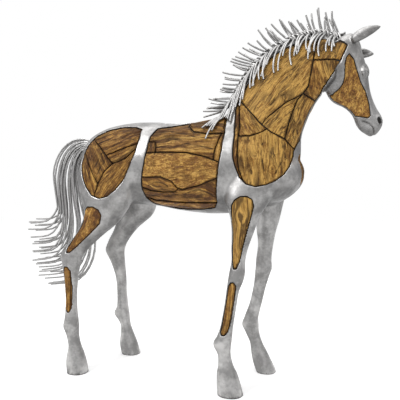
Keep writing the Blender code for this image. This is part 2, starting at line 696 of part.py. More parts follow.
def leg_outline(rows, stations):
    """The outline of a leg's panel, from its heights and width shares."""
    back, front = [], []
    for z, low, high in rows:
        for (z0, b0, f0, _, _), (z1, b1, f1, _, _) in zip(stations, stations[1:]):
            if z1 <= z <= z0:
                t = (z0 - z) / (z0 - z1)
                start, end = b0 + (b1 - b0) * t, f0 + (f1 - f0) * t
                back.append((start + (end - start) * low, z))
                front.append((start + (end - start) * high, z))
                break
    return back + front[::-1]


def prisms(growth, bed):
    """The prisms of the panels, each outline moved outwards by a growth, in three groups that don't meet
    inside. The prisms of the legs end flat, deeper by the bed."""
    more, deeper = growth / SHARE, bed / SHARE
    torso, limbs = [], []
    for word, side in (("right", -1.0), ("left", 1.0)):
        torso.append(side_prism(word + "_neck", offset(NECK_PANEL, more), side, NECK_REACH - more))
        torso.append(side_prism(word + "_barrel", offset(BARREL_PANEL, more), side, BARREL_REACH - more))
        torso.append(side_prism(word + "_rump", offset(RUMP_PANEL, more), side, RUMP_REACH - more))
        limbs.append(cheek_prism(word + "_cheek", offset(CHEEK_PANEL, more), side, CHEEK_REACH - more))
        for name, end, rows, reach in LEG_PANELS:
            stations = LEGS[word + "_" + end]
            outline = offset(leg_outline(rows, stations), more)
            limbs.append(side_prism(word + "_" + name, outline, side, reach - deeper))
    chest = offset(BREAST_PANEL, more)
    breast = prism("breast", chest, lambda a, b, x: point(x, a, b), BREAST_REACH - more, 60.0)
    return joined("torso", torso), joined("limbs", limbs), breast


def saddle_prism(growth):
    """The upright prism of the block over the withers, its outline moved outwards by a growth."""
    outline = offset(SADDLE_BLOCK, growth / SHARE)
    return prism("saddle", outline, lambda a, b, z: point(a, b, z), 84.0, 112.0)


def separate(source):
    """The closed shells of a mesh, each as a list of its points and faces."""
    mesh = source.data
    owner = list(range(len(mesh.vertices)))

    def root(i):
        while owner[i] != i:
            owner[i] = owner[owner[i]]
            i = owner[i]
        return i

    for edge in mesh.edges:
        a, b = root(edge.vertices[0]), root(edge.vertices[1])
        if a != b:
            owner[a] = b
    shells = {}
    for polygon in mesh.polygons:
        shells.setdefault(root(polygon.vertices[0]), []).append(tuple(polygon.vertices))
    found = []
    for faces in shells.values():
        used = sorted({i for face in faces for i in face})
        index = {old: new for new, old in enumerate(used)}
        points = [mesh.vertices[i].co.copy() for i in used]
        found.append((points, [tuple(index[i] for i in face) for face in faces]))
    return found


def middle_of(points):
    """The middle of the box round some points."""
    low = Vector(tuple(min(p[k] for p in points) for k in range(3)))
    high = Vector(tuple(max(p[k] for p in points) for k in range(3)))
    return (low + high) / 2


def tidied(obj):
    """Merges points closer than a hundredth of a millimetre, and makes every face a triangle."""
    shape = bmesh.new()
    shape.from_mesh(obj.data)
    bmesh.ops.remove_doubles(shape, verts=shape.verts[:], dist=1e-5)
    bmesh.ops.dissolve_degenerate(shape, dist=1e-5, edges=shape.edges[:])
    bmesh.ops.triangulate(shape, faces=shape.faces[:])
    shape.to_mesh(obj.data)
    shape.free()
    return obj


def fewer_faces(obj, share):
    """Collapses the edges that matter least to the form, which a Boolean leaves in rows along its cuts."""
    fewer = obj.modifiers.new("fewer", "DECIMATE")
    fewer.ratio = share
    bake(obj)
    return tidied(obj)


def targets():
    """Every wood piece's name, with a point near its middle in world space."""
    carry = head_frame()
    wanted = {"breast_panel": point(51.0, 0.0, 79.0), "withers_block": point(17.0, 0.0, 97.5)}
    for word, side in (("right", -1.0), ("left", 1.0)):
        wanted[word + "_cheek_panel"] = carry @ Vector((-7.0, side * 4.5, -16.0))
        for table, reach in ((NECK_PIECES, 8.0), (BARREL_PIECES, 11.5), (RUMP_PIECES, 12.5)):
            for name, (x, z) in table.items():
                wanted[word + "_" + name] = point(x, side * reach, z)
        for name, end, rows, _ in LEG_PANELS:
            outline = leg_outline(rows, LEGS[word + "_" + end])
            middle = [sum(p[k] for p in outline) / len(outline) for k in (0, 1)]
            wanted[word + "_" + name + "_panel"] = point(middle[0], side * 14.0, middle[1])
    return wanted


def wood_pieces(cast, core, material):
    """Every fitted piece of driftwood, as an object of its own."""
    torso, limbs, breast = prisms(0.0, 0.0)
    blank = boolean(copied("blank", cast), "INTERSECT", [torso])
    cuts = [copied("floor", core), saddle_prism(CRACK)]
    for word, side in (("right", -1.0), ("left", 1.0)):
        cuts.append(cheek_prism(word + "_clear", offset(CHEEK_PANEL, 2 * GROOVE / SHARE), side, 0.0))
        for lines in (NECK_CRACKS, BARREL_CRACKS, RUMP_CRACKS):
            for i, line in enumerate(lines):
                cuts.append(side_prism(f"{word}_crack_{i}", ribbon(line, CRACK / SHARE), side, 0.4))
    boolean(blank, "DIFFERENCE", cuts)
    saddle = boolean(copied("saddle_blank", cast), "INTERSECT", [saddle_prism(0.0)])
    limb = boolean(copied("limb_blank", cast), "INTERSECT", [limbs])
    chest = boolean(copied("chest_blank", cast), "INTERSECT", [breast])
    for blanked in (saddle, limb, chest):
        boolean(blanked, "DIFFERENCE", [copied("floor", core)])
    shells = []
    for blank in (blank, saddle, limb, chest):
        shells += separate(blank)
        bpy.data.objects.remove(blank, do_unlink=True)
    shells = [shell for shell in shells if len(shell[0]) > 7]
    wanted = targets()
    pairs = sorted(
        ((middle_of(points) - place).length, name, number)
        for number, (points, _) in enumerate(shells)
        for name, place in wanted.items()
    )
    taken, used = {}, set()
    for _, name, number in pairs:
        if name not in taken and number not in used:
            taken[name] = number
            used.add(number)
    made = []
    for name, number in taken.items():
        piece = fewer_faces(tidied(add_mesh(name, *shells[number])), WOOD_SHARE)
        link(piece, material)
        made.append(piece)
    return made


def resampled(line, count):
    """Points at equal steps along a line of points."""
    lengths = [0.0]
    for a, b in zip(line, line[1:]):
        lengths.append(lengths[-1] + (b - a).length)
    found = []
    for i in range(count + 1):
        goal = lengths[-1] * i / count
        k = max(j for j in range(len(line) - 1) if lengths[j] <= goal + 1e-9)
        span = lengths[k + 1] - lengths[k]
        found.append(line[k].lerp(line[k + 1], min(1.0, (goal - lengths[k]) / span)))
    return found


def extrude_rod(shape, face, path):
    """Grows a square rod out of a face, through the points of a path. The face becomes the rod's root."""
    half = ROD_DIAMETER * math.sqrt(math.pi) / 4
    bmesh.ops.inset_individual(shape, faces=[face], thickness=0.0005, use_even_offset=True)
    ring = list(face.verts)
    middle = face.calc_center_median()
    normal = face.normal.copy()
    u = (ring[1].co - ring[0].co + ring[2].co - ring[3].co).normalized()
    v = normal.cross(u).normalized()
    corners = ((-1, -1), (1, -1), (1, 1), (-1, 1))
    for vertex, (a, b) in zip(ring, corners):
        vertex.co = middle + u * (half * a) + v * (half * b)
    direction = normal
    shape.faces.remove(face)
    last = len(path) - 1
    for i, here in enumerate(path):
        before = middle if i == 0 else path[i - 1]
        onward = (here - before).normalized()
        if i < last:
            onward = (onward + (path[i + 1] - here).normalized()).normalized()
        turn = direction.rotation_difference(onward)
        u = (turn @ u).normalized()
        v = onward.cross(u).normalized()
        u = v.cross(onward).normalized()
        direction = onward
        after = [shape.verts.new(here + u * (half * a) + v * (half * b)) for a, b in corners]
        for k in range(4):
            shape.faces.new((ring[k], ring[(k + 1) % 4], after[(k + 1) % 4], after[k]))
        ring = after
    shape.faces.new(ring)


def swept(root, start, end, length, steps, lateral):
    """A rod's path in a side plane: its angle turns from start to end, and it drifts sideways."""
    found = []
    here = root.copy()
    for i in range(steps):
        share = (i + 0.5) / steps
        angle = math.radians(start + (end - start) * share)
        here = here + Vector((math.cos(angle), lateral[i], math.sin(angle))) * (length / steps * SHARE)
        found.append(here.copy())
    return found


def clear_of(path, tree, gap):
    """Moves the points of a path out of a surface until each is a gap clear of it."""
    moved = []
    for here in path:
        near, normal, _, distance = tree.find_nearest(here)
        inside = (here - near).dot(normal) < 0
        if inside or distance < gap:
            here = near + normal * gap
        moved.append(here)
    return moved


def face_near(shape, place):
    """The four-sided face whose middle is nearest to a place."""
    squares = [f for f in shape.faces if len(f.verts) == 4]
    return min(squares, key=lambda f: (f.calc_center_median() - place).length)


def mane(cast, tree, material):
    """The plait of welded rod roots along the crest, with the mane's rods growing from it."""
    line = [point(x, y, z) for x, z, y in (tuple(row) for row in smoothed(CREST_LINE, 6))]
    line = resampled(line, CREST_CELLS)
    half, high, seat = PLAIT_WIDTH / 2 * SHARE, PLAIT_HEIGHT * SHARE, PLAIT_SEAT * SHARE
    rings, frames = [], []
    for i, here in enumerate(line):
        run = (line[min(i + 1, len(line) - 1)] - line[max(i - 1, 0)]).normalized()
        out = Vector((-run.z, 0.0, run.x)).normalized()
        side = Vector((0.0, 1.0, 0.0))
        found = tree.ray_cast(here + out * 0.15, -out, 0.4)[0]
        base = found if found else here
        frames.append((base, run, out, side))
        low = 0.12 * high
        section = ((-1.0, -seat), (-1.0, low), (-0.42, high), (0.42, high), (1.0, low), (1.0, -seat))
        rings.append([base + side * (a * half) + out * b for a, b in section])
    plait = loft("mane", rings)
    boolean(plait, "DIFFERENCE", [grown("crest", cast, SEAT_GAP)])
    shape = bmesh.new()
    shape.from_mesh(plait.data)
    last = CREST_CELLS - 1
    for i in range(CREST_CELLS):
        share = i / last
        (base, run, out, side), (ahead, _, _, _) = frames[i], frames[i + 1]
        middle = (base + ahead) / 2
        normal = math.degrees(math.atan2(out.z, out.x))
        wobble = (i * 7 % 5 - 2) / 2.0
        root = middle + out * high
        length = STANDING_LENGTH[0] + (STANDING_LENGTH[1] - STANDING_LENGTH[0]) * share + 1.0 * wobble
        end = 160.0 - 78.0 * min(1.0, 1.35 * share) + 9.0 * wobble
        drift = 0.2 * (1 if i % 2 else -1)
        path = swept(root, normal + 42.0, end, length, 3, (0.5 * drift, drift, 1.3 * drift))
        extrude_rod(shape, face_near(shape, root), clear_of(path, tree, 0.015))
        for sign in (-1.0, 1.0):
            if (i + (sign > 0)) % 2 and 2 < i < last:
                continue
            root = middle + side * (sign * 0.71 * half) + out * (0.56 * high)
            length = HANGING_LENGTH[0] + (HANGING_LENGTH[1] - HANGING_LENGTH[0]) * share**2 + 1.2 * wobble
            start = min(normal + 95.0, 232.0) + 5.0 * wobble
            end = 268.0 - 40.0 * max(0.0, 1.0 - 4.0 * share) + 5.0 * wobble
            path = swept(root, start, end, length, 3, (0.85 * sign, 0.45 * sign, 0.3 * sign))
            extrude_rod(shape, face_near(shape, root), clear_of(path, tree, 0.017))
    shape.to_mesh(plait.data)
    shape.free()
    link(tidied(plait), material)
    return plait


def tail(cast, tree, material):
    """The tail's root on the rump, with its rods arching out and down."""
    slope = math.radians(DOCK_SLOPE)
    out = Vector((-math.cos(slope), 0.0, math.sin(slope)))
    up = Vector((math.sin(slope), 0.0, math.cos(slope)))
    side = Vector((0.0, 1.0, 0.0))
    start = point(*DOCK)
    cell = DOCK_CELL * SHARE
    vertices, faces = [], []
    columns, rows = DOCK_COLUMNS, DOCK_ROWS
    for depth in (0.0, DOCK_LENGTH * SHARE):
        for r in range(rows + 1):
            for c in range(columns + 1):
                across = side * ((c - columns / 2) * cell)
                vertices.append(start + out * depth + across + up * ((rows / 2 - r) * cell))
    wide = columns + 1
    layer = wide * (rows + 1)
    for r in range(rows):
        for c in range(columns):
            a = r * wide + c
            faces.append((a, a + 1, a + wide + 1, a + wide))
            faces.append((layer + a, layer + a + wide, layer + a + wide + 1, layer + a + 1))
    for c in range(columns):
        faces.append((c, layer + c, layer + c + 1, c + 1))
        a = rows * wide + c
        faces.append((a, a + 1, layer + a + 1, layer + a))
    for r in range(rows):
        a = r * wide
        faces.append((a, a + wide, layer + a + wide, layer + a))
        a = r * wide + columns
        faces.append((a, layer + a, layer + a + wide, a + wide))
    dock = add_mesh("tail", vertices, faces)
    boolean(dock, "DIFFERENCE", [grown("rump", cast, SEAT_GAP)])
    shape = bmesh.new()
    shape.from_mesh(dock.data)
    for r in range(rows):
        for c in range(columns):
            root = start + out * (DOCK_LENGTH * SHARE) + side * ((c + 0.5 - columns / 2) * cell)
            root += up * ((rows / 2 - r - 0.5) * cell)
            lane = (r + 0.19 * ((c * 2) % columns)) / (rows - 0.24)
            spread = (c + 0.5 - columns / 2) / (columns / 2)
            path = []
            for k, (outer, mid, inner) in enumerate(zip(TAIL_OUTER, TAIL_MIDDLE, TAIL_INNER)):
                share = lane * 2 if lane < 0.5 else lane * 2 - 1
                a, b = (outer, mid) if lane < 0.5 else (mid, inner)
                x, z = a[0] + (b[0] - a[0]) * share, a[1] + (b[1] - a[1]) * share
                widen = min(1.0, 0.62 + 0.16 * k)
                path.append(point(x, spread * TAIL_SPREAD * widen, z))
            extrude_rod(shape, face_near(shape, root), path)
    shape.to_mesh(dock.data)
    shape.free()
    link(tidied(dock), material)
    return dock


def finish(name, colour, roughness, metallic):
    """A plain material of one colour."""
    material = bpy.data.materials.new(name)
    material.use_nodes = True
    shader = material.node_tree.nodes["Principled BSDF"]
    shader.inputs["Base Color"].default_value = (*colour, 1.0)
    shader.inputs["Roughness"].default_value = roughness
    shader.inputs["Metallic"].default_value = metallic
    return material


def main():
    """Builds the whole sculpture."""
    clear_scene()
    bpy.context.scene.collection.children.link(bpy.data.collections.new("driftwood_horse"))
    aluminium = finish("cast_aluminium", (0.66, 0.67, 0.68), 0.42, 1.0)
    rod = finish("aluminium_rod", (0.74, 0.75, 0.76), 0.34, 1.0)
    wood = finish("driftwood", (0.40, 0.25, 0.10), 0.72, 0.0)

    cast = figure("cast", 0.0, 0.0, CASTING_FACES, True)
    core = figure("core", WOOD_DEPTH / SHARE, LIMB_WOOD_DEPTH / SHARE, CORE_FACES, False)
    core_floor = grown("core_floor", core, -BED_GAP)
    faces = [tuple(p.vertices) for p in cast.data.polygons]
    tree = BVHTree.FromPolygons([v.co for v in cast.data.vertices], faces)

    wood_pieces(cast, core, wood)
    mane(cast, tree, rod)
    tail(cast, tree, rod)

    torso, limbs, breast = prisms(GROOVE, BED_GAP)
    pockets = boolean(torso, "UNION", [limbs, breast, saddle_prism(GROOVE)])
    boolean(pockets, "DIFFERENCE", [core_floor])
    body = boolean(copied("horse_casting", cast), "DIFFERENCE", [pockets])
    shells = sorted(separate(body), key=lambda shell: len(shell[0]))
    bpy.data.objects.remove(body, do_unlink=True)
    casting = fewer_faces(tidied(add_mesh("horse_casting", *shells[-1])), BODY_SHARE)
    link(casting, aluminium)
    for spare in (cast, core):
        bpy.data.objects.remove(spare, do_unlink=True)


main()
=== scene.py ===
"""The looks of a standing horse: cast aluminium with fitted driftwood, and a mane and tail of bent rod.

The horse faces +X with its left side towards +Y, on a floor at Z = 0. The figure's points are given in
hundredths of its height at the withers, as on a full-size drawing. Walls, gaps and rods are real sizes.
"""

from __future__ import annotations

import logging
import math
from dataclasses import dataclass, field
from enum import Enum
from itertools import product
from typing import Callable, Iterable, Sequence

import bmesh
import bpy
import numpy as np
from mathutils import Matrix, Vector
from mathutils.bvhtree import BVHTree

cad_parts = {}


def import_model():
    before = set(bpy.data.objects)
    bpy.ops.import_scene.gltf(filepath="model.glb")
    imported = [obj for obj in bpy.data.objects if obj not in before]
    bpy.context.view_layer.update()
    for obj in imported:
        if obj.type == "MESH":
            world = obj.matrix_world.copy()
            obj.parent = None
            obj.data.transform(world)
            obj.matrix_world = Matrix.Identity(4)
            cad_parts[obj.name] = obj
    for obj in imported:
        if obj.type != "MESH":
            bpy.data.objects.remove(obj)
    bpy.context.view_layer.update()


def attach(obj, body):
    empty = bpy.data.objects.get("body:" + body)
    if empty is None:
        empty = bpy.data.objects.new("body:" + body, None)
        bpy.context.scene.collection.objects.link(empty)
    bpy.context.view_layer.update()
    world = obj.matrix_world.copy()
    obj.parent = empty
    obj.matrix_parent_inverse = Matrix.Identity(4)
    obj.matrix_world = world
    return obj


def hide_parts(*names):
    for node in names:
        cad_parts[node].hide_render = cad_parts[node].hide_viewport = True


log = logging.getLogger("horse")

Point2 = tuple[float, float]
Point3 = tuple[float, float, float]
Row = tuple[float, ...]
Colour = tuple[float, float, float, float]
Mesh = bpy.types.Object
Items = bpy.types.bpy_prop_collection
Material = bpy.types.Material
Node = bpy.types.Node
Socket = bpy.types.NodeSocket

WITHERS_HEIGHT = 1.50
SHARE = WITHERS_HEIGHT / 100.0
MIDDLE_X = 4.4
HASH_PRIMES = np.array((73856093, 19349663, 83492791), dtype=np.int64)

# Trunk along X: x, top, bottom, half width, height of the widest point, roundness of the upper half.
TRUNK: tuple[Row, ...] = (
    (-39.6, 89, 76, 5, 83, 2), (-37.5, 93.5, 73, 9, 83.5, 2), (-33, 96.8, 70.5, 12.6, 84, 2),
    (-26, 99, 68.5, 14.6, 84, 2.1), (-16, 100.2, 67, 14.8, 84, 2.1), (-6, 99.8, 66.2, 14.6, 81.5, 2.1),
    (3, 98.6, 64.6, 15.2, 79.5, 2.1), (11, 98.8, 63.6, 15.4, 79, 2), (18, 99.8, 63.2, 15, 79, 1.8),
    (26, 100, 63.6, 14.2, 79.5, 1.7), (34, 97, 65, 13.6, 80, 1.9), (41, 91, 66.8, 12.4, 79.5, 2),
    (46, 86.5, 69.4, 10, 78.5, 2), (49.4, 83, 72.6, 7, 78, 2), (51, 80.5, 75.5, 3.4, 78, 2),
)

# Neck: crest x, crest z, throat x, throat z, half width, y of the crest, y of the throat.
NECK: tuple[Row, ...] = (
    (15.5, 96, 42, 68.5, 11.6, 0, 0), (21.5, 100.2, 48.6, 76.5, 12.4, 0, 0), (26, 107.6, 50, 84, 11.4, 0, 0),
    (30.6, 115, 50.2, 90, 9.8, 0, 0), (36.4, 121.2, 51.6, 95.2, 8.4, 0.2, 0),
    (43.6, 125.4, 53.4, 99.4, 7.3, 0.6, 0), (51.8, 127.8, 56, 103.6, 6.4, 1.2, -0.3),
    (59, 127.4, 59, 107, 5.4, 2, -1), (64, 124.6, 62, 110, 4.8, 2.6, -1.4),
)
CREST_NARROWING = 0.42
TRUNK_FOOT = 2.3

# Head in its own frame: distance down the face, forehead, jaw, half width, and where the widest point lies.
HEAD: tuple[Row, ...] = (
    (-2.6, -0.6, -4.4, 2, 0.50), (-1, 0.9, -7.5, 3.4, 0.48), (2, 1.5, -10.5, 4.3, 0.45),
    (5.5, 1.3, -12.6, 5, 0.42), (9, 1.4, -13.6, 5.5, 0.40), (12, 1.4, -14.1, 5.6, 0.40),
    (15.5, 1, -14, 5, 0.42), (18.5, 0.7, -12.6, 4.3, 0.42), (21.5, 0.8, -9.4, 3.7, 0.42),
    (25, 1.4, -7.4, 3.2, 0.42), (28.5, 2.4, -7, 3.2, 0.42), (31.2, 2, -5.9, 3.1, 0.45),
    (33, 0.4, -4.4, 2.4, 0.45), (34.2, -1.2, -3.4, 1.2, 0.50),
)
POLL: Point3 = (68.2, 2.4, 124.2)
FACE_SLOPE = 72.0
HEAD_YAW = 19.0
HEAD_ROLL = 9.0

# Legs: z, back edge x, front edge x, y of the middle, half width.
LEGS: dict[str, tuple[Row, ...]] = {
    "right_fore": (
        (84, 27, 42, -8.4, 4.2), (76, 24.6, 43, -8.8, 5.4), (68.5, 24.4, 41, -9.4, 5.6),
        (62.5, 26.6, 37.4, -10, 5), (57, 27.4, 35.3, -10.6, 4.1), (50.5, 27.5, 33.1, -11.4, 3.2),
        (46.5, 27.6, 32.4, -11.8, 2.9), (42.8, 26.9, 32.5, -12.1, 3.1), (39.5, 26.4, 31.8, -12.3, 2.9),
        (36, 25.9, 30.4, -12.5, 2.4), (30, 25, 29.4, -12.7, 2.15), (23, 23.7, 28.3, -12.9, 2.2),
        (19, 22.2, 27.9, -13, 2.6), (16.6, 21.6, 27.6, -13, 2.7), (13.5, 22.9, 27.5, -13, 2.3),
        (9.8, 23, 28.5, -13, 2.5), (7.2, 22.6, 29.8, -13, 3.3), (3.6, 22.6, 31, -13, 3.9),
        (0, 22.9, 31.9, -13, 4.3), (-2, 23, 32.3, -13, 4.4),
    ),
    "left_fore": (
        (84, 27, 42, 8.4, 4.2), (76, 25.4, 43.6, 8.8, 5.4), (68.5, 27, 42.6, 9.4, 5.4), (62, 31, 41, 10, 4.6),
        (56.4, 31.6, 39.3, 10.8, 3.9), (50.8, 31.9, 38, 11.6, 3.2), (45.2, 31.2, 37.2, 12, 3),
        (41.6, 30.8, 37.4, 12.2, 3.1), (38, 30.4, 36.2, 12.4, 2.8), (33.5, 29.8, 34.8, 12.5, 2.4),
        (27, 28.2, 33.2, 12.7, 2.2), (21.5, 26.2, 31.8, 12.8, 2.5), (18.4, 25.4, 31.9, 12.9, 2.7),
        (15.2, 26.4, 32.1, 12.9, 2.4), (11.2, 28.3, 33.3, 12.9, 2.3), (8, 28.8, 35, 12.9, 3.1),
        (4, 29.5, 37, 12.9, 3.8), (0, 30.9, 38.8, 12.9, 4.2), (-2, 31.4, 39.4, 12.9, 4.3),
    ),
    "right_hind": (
        (93, -30, -14, -7, 4.5), (86, -36, -11.5, -8.2, 6.2), (78, -38, -11, -9, 6.6),
        (70.5, -36.6, -12.5, -9.6, 6.2), (64.5, -34, -15.6, -10.2, 5.4), (59, -35.2, -20.2, -10.6, 4.6),
        (54.5, -38, -26, -11, 3.8), (50, -41.6, -31.2, -11.4, 3.1), (46, -44.4, -34.6, -11.9, 2.8),
        (42, -43.4, -35.9, -12.2, 2.9), (38, -42.5, -36.6, -12.5, 2.7), (32, -41.6, -36.9, -12.9, 2.3),
        (25.5, -41.2, -36.6, -13.2, 2.3), (21, -41.5, -36, -13.4, 2.6), (18, -41.8, -35.6, -13.5, 2.8),
        (14.4, -40.4, -35.5, -13.6, 2.4), (10.4, -39.4, -34.4, -13.7, 2.5), (7, -39.9, -32.9, -13.7, 3.2),
        (3.5, -40.2, -31.9, -13.7, 3.7), (0, -39.6, -31.3, -13.7, 4), (-2, -39.4, -31, -13.7, 4.1),
    ),
    "left_hind": (
        (93, -30, -14, 7, 4.5), (86, -36, -11.5, 8.2, 6.2), (78, -38, -11, 9, 6.6),
        (70.5, -35, -12, 9.6, 6.2), (63, -31.6, -14.4, 10.4, 5.2), (56.5, -33, -22.4, 11, 4.2),
        (50.5, -36.8, -27.6, 11.6, 3.3), (46, -38.2, -29.4, 12, 2.9), (41, -36, -29.4, 12.4, 2.8),
        (35, -33.9, -29, 12.8, 2.4), (28, -33.2, -28.8, 13.1, 2.2), (21.5, -33.3, -28.2, 13.3, 2.5),
        (17.6, -34.6, -27.7, 13.5, 2.7), (13, -31.8, -27.2, 13.6, 2.3), (8.6, -31.6, -25.6, 13.7, 2.8),
        (4.6, -32, -23.9, 13.7, 3.5), (0, -30.9, -22.6, 13.7, 3.9), (-2, -30.4, -22.2, 13.7, 4),
    ),
}

# Head details in the head's own frame: forward, left, down.
EYE: Point3 = (-0.9, 4.4, 11.6)
NEAR_EAR: tuple[Point3, Point3] = ((67.6, -2.6, 122.6), (77.2, -4.2, 125.4))
FAR_EAR: tuple[Point3, Point3] = ((67.2, 6.4, 120.4), (75.4, 8.8, 120.6))

# Panels on the right side, as outlines in x and z. The left side mirrors them.
NECK_PANEL: tuple[Point2, ...] = (
    (66, 121.3), (64.6, 118), (63.2, 115), (61.8, 112.3), (60, 109.8), (57.6, 106.6), (55.4, 103),
    (53.4, 99.2), (51.8, 95.2), (50.4, 91.4), (49.2, 88), (48.2, 85), (47.8, 82), (47.2, 79.4), (45.6, 76.7),
    (43, 74.7), (40, 73.2), (36.6, 72.5), (33.4, 73.4), (30.9, 75.9), (29.4, 79.4), (28.4, 83), (28.2, 87),
    (28.2, 91), (27.4, 96), (27.2, 101.5), (28.9, 106.4), (32.6, 112.4), (37.6, 118.2), (43.9, 122.2),
    (51.8, 125), (58.8, 124.9), (63.4, 123.4),
)
BARREL_PANEL: tuple[Point2, ...] = (
    (-2.6, 95.6), (-4.3, 92.2), (-4.8, 87), (-5.8, 82), (-7, 76.5), (-7.9, 72.5), (-7.6, 69.2), (-5.5, 66.9),
    (-1, 65.7), (7, 65), (14, 64.8), (20, 65.4), (21.6, 67.2), (22.2, 71.6), (23, 77.8), (24, 85.7),
    (24.3, 92.2), (23.8, 97), (22.6, 104), (8.4, 104), (8.2, 97.4), (4, 96.5),
)
RUMP_PANEL: tuple[Point2, ...] = (
    (-9, 95.6), (-8.8, 91.5), (-9.8, 86), (-12.5, 80.2), (-15.8, 74.8), (-18, 72), (-21, 69.8), (-24.5, 69),
    (-28, 70.2), (-30.8, 73.5), (-32.8, 77.5), (-34.2, 82), (-34.2, 86.5), (-32.5, 90.5), (-29.5, 93.8),
    (-24.5, 96.2), (-18.8, 97), (-12.5, 96.8),
)
CHEEK_PANEL: tuple[Point2, ...] = (
    (-4.4, 4.3), (-3.6, 6.5), (-3.7, 10.5), (-3.4, 14.5), (-2.1, 18.2), (-1.8, 22.6), (-2.3, 26.8),
    (-3.2, 27.2), (-6, 25.6), (-8.9, 25), (-11.5, 22.5), (-14, 20), (-16, 17.5), (-16, 13.6), (-13.8, 15.4),
    (-12.7, 15.7), (-11.4, 15), (-9.9, 14.2), (-8.8, 13), (-7.8, 11), (-6.6, 7), (-5.4, 5),
)
SADDLE_BLOCK: tuple[Point2, ...] = (
    (7.9, 1.6), (9.4, 5.4), (11.6, 8.2), (17, 8.8), (23.6, 8.8), (22.4, 0), (23.6, -8.8), (17, -8.8),
    (11.6, -8.2), (9.4, -5.4), (7.9, -1.6),
)
BREAST_PANEL: tuple[Point2, ...] = (
    (0, 84.8), (1.8, 83.8), (3, 81.8), (3.5, 79.2), (3.1, 76.4), (1.8, 74.3), (0, 73.5), (-1.8, 74.3),
    (-3.1, 76.4), (-3.5, 79.2), (-3, 81.8), (-1.8, 83.8),
)
NECK_REACH = 0.8
BARREL_REACH = 3.5
RUMP_REACH = 5.5
CHEEK_REACH = 0.8
BREAST_REACH = 48.8
PRISM_END = 30.0
CHEEK_PRISM_END = 14.0

# Leg panels: height, then the shares of the leg's width between which the wood lies.
FOREARM_PANEL: tuple[Row, ...] = (
    (69, 0.42, 0.56), (68, 0.31, 0.67), (65.8, 0.20, 0.75), (62.5, 0.13, 0.78), (57.5, 0.11, 0.77),
    (51, 0.13, 0.75), (46.5, 0.17, 0.69), (44.2, 0.34, 0.54),
)
FORE_CANNON_PANEL: tuple[Row, ...] = (
    (39.2, 0.33, 0.52), (38.2, 0.21, 0.70), (34.5, 0.20, 0.80), (30, 0.20, 0.81), (25.5, 0.18, 0.80),
    (22, 0.19, 0.72), (20.8, 0.36, 0.56),
)
GASKIN_PANEL: tuple[Row, ...] = (
    (65.6, 0.20, 0.36), (64.4, 0.11, 0.50), (62.3, 0.09, 0.62), (59.3, 0.09, 0.68), (56.8, 0.09, 0.66),
    (53.3, 0.11, 0.62), (49.4, 0.15, 0.54), (47.4, 0.27, 0.42),
)
HIND_CANNON_PANEL: tuple[Row, ...] = (
    (41.6, 0.30, 0.48), (40, 0.17, 0.68), (34.3, 0.14, 0.78), (26.6, 0.15, 0.78), (24.6, 0.20, 0.68),
    (23.8, 0.36, 0.54),
)
LEG_PANELS: tuple[tuple[str, str, tuple[Row, ...], float], ...] = (
    ("forearm", "fore", FOREARM_PANEL, 12.6), ("fore_cannon", "fore", FORE_CANNON_PANEL, 13.6),
    ("gaskin", "hind", GASKIN_PANEL, 12.6), ("hind_cannon", "hind", HIND_CANNON_PANEL, 13.7),
)

# Cracks between the fitted pieces of a panel, as lines in x and z that run past the panel's edge.
NECK_CRACKS: tuple[tuple[Point2, ...], ...] = (
    ((54.2, 116.9), (56.7, 116.6), (59.1, 116.5), (67, 116)),
    ((55.9, 127), (55.6, 122), (54.6, 114.4), (53.3, 107.6), (51.5, 105.1)),
    ((51.9, 105.3), (45.5, 101.7), (41.9, 98.7), (39, 96.1), (37.7, 94)),
    ((27, 106.5), (30.7, 102.5), (34.2, 98.6), (38.1, 94)),
    ((37.7, 94.6), (40.7, 91.8), (45.6, 89.1), (48.2, 86.1), (51, 83)),
    ((51.7, 105.3), (49.6, 103), (48.3, 99.5), (46.9, 95.3), (45.5, 88.8)),
    ((28, 106), (28.9, 100), (29.6, 90.5), (29.9, 83.6), (30.6, 78.3), (32.7, 73.4), (34, 70)),
    ((29.2, 90.7), (33.8, 90.7), (38.1, 91.8), (39.9, 92.9)), ((51.3, 105.2), (54, 103.6), (58.5, 102)),
)
BARREL_CRACKS: tuple[tuple[Point2, ...], ...] = (
    ((-8, 85.9), (2.2, 85.8), (11.4, 85.2), (18, 83.6), (23.3, 81.4), (27, 80)),
    ((-8, 90.3), (-1.8, 90), (-1.3, 87.5), (-1.3, 85.2)),
    ((23.5, 93), (22.9, 91), (21.6, 85.5), (21.4, 81.6)),
    ((-10, 77), (1.1, 76.7), (5.3, 75.2), (7.7, 72.6), (9.5, 71.8), (15.8, 73.3), (22.6, 75.6), (26, 76.7)),
    ((-11, 74), (-7.8, 73.2), (-4.2, 71.9), (1.5, 71.2), (6.6, 71.3), (8.6, 72.6)),
    ((-11, 71), (-8.3, 69.9), (-3.5, 68.3), (9.2, 67.3), (20.3, 67.2), (25, 67.4)),
    ((7, 99.5), (9.6, 96), (12.5, 93.4), (17.3, 92.3), (24.3, 92.2), (27, 92.2)),
)
RUMP_CRACKS: tuple[tuple[Point2, ...], ...] = (
    ((-34, 96.5), (-29.7, 92.5), (-25.7, 89.4), (-22.2, 85.8), (-19.1, 82.2)),
    ((-19.6, 82.3), (-13.8, 83.9), (-10.6, 86.8), (-6, 91)),
    ((-19, 82.7), (-22.5, 79.3), (-25, 74.9), (-26.4, 71.1), (-27.4, 66)),
    ((-37, 92), (-31.7, 85.1), (-28.4, 79.7), (-25.1, 74.6)),
    ((-22.8, 85.3), (-15, 87.9), (-9.5, 89.7), (-5, 91.2)),
)

# Sizes of the joinery, in metres.
WOOD_DEPTH = 0.022
LIMB_WOOD_DEPTH = 0.012
GROOVE = 0.0032
CRACK = 0.0034
BED_GAP = 0.0014
ROD_DIAMETER = 0.0105

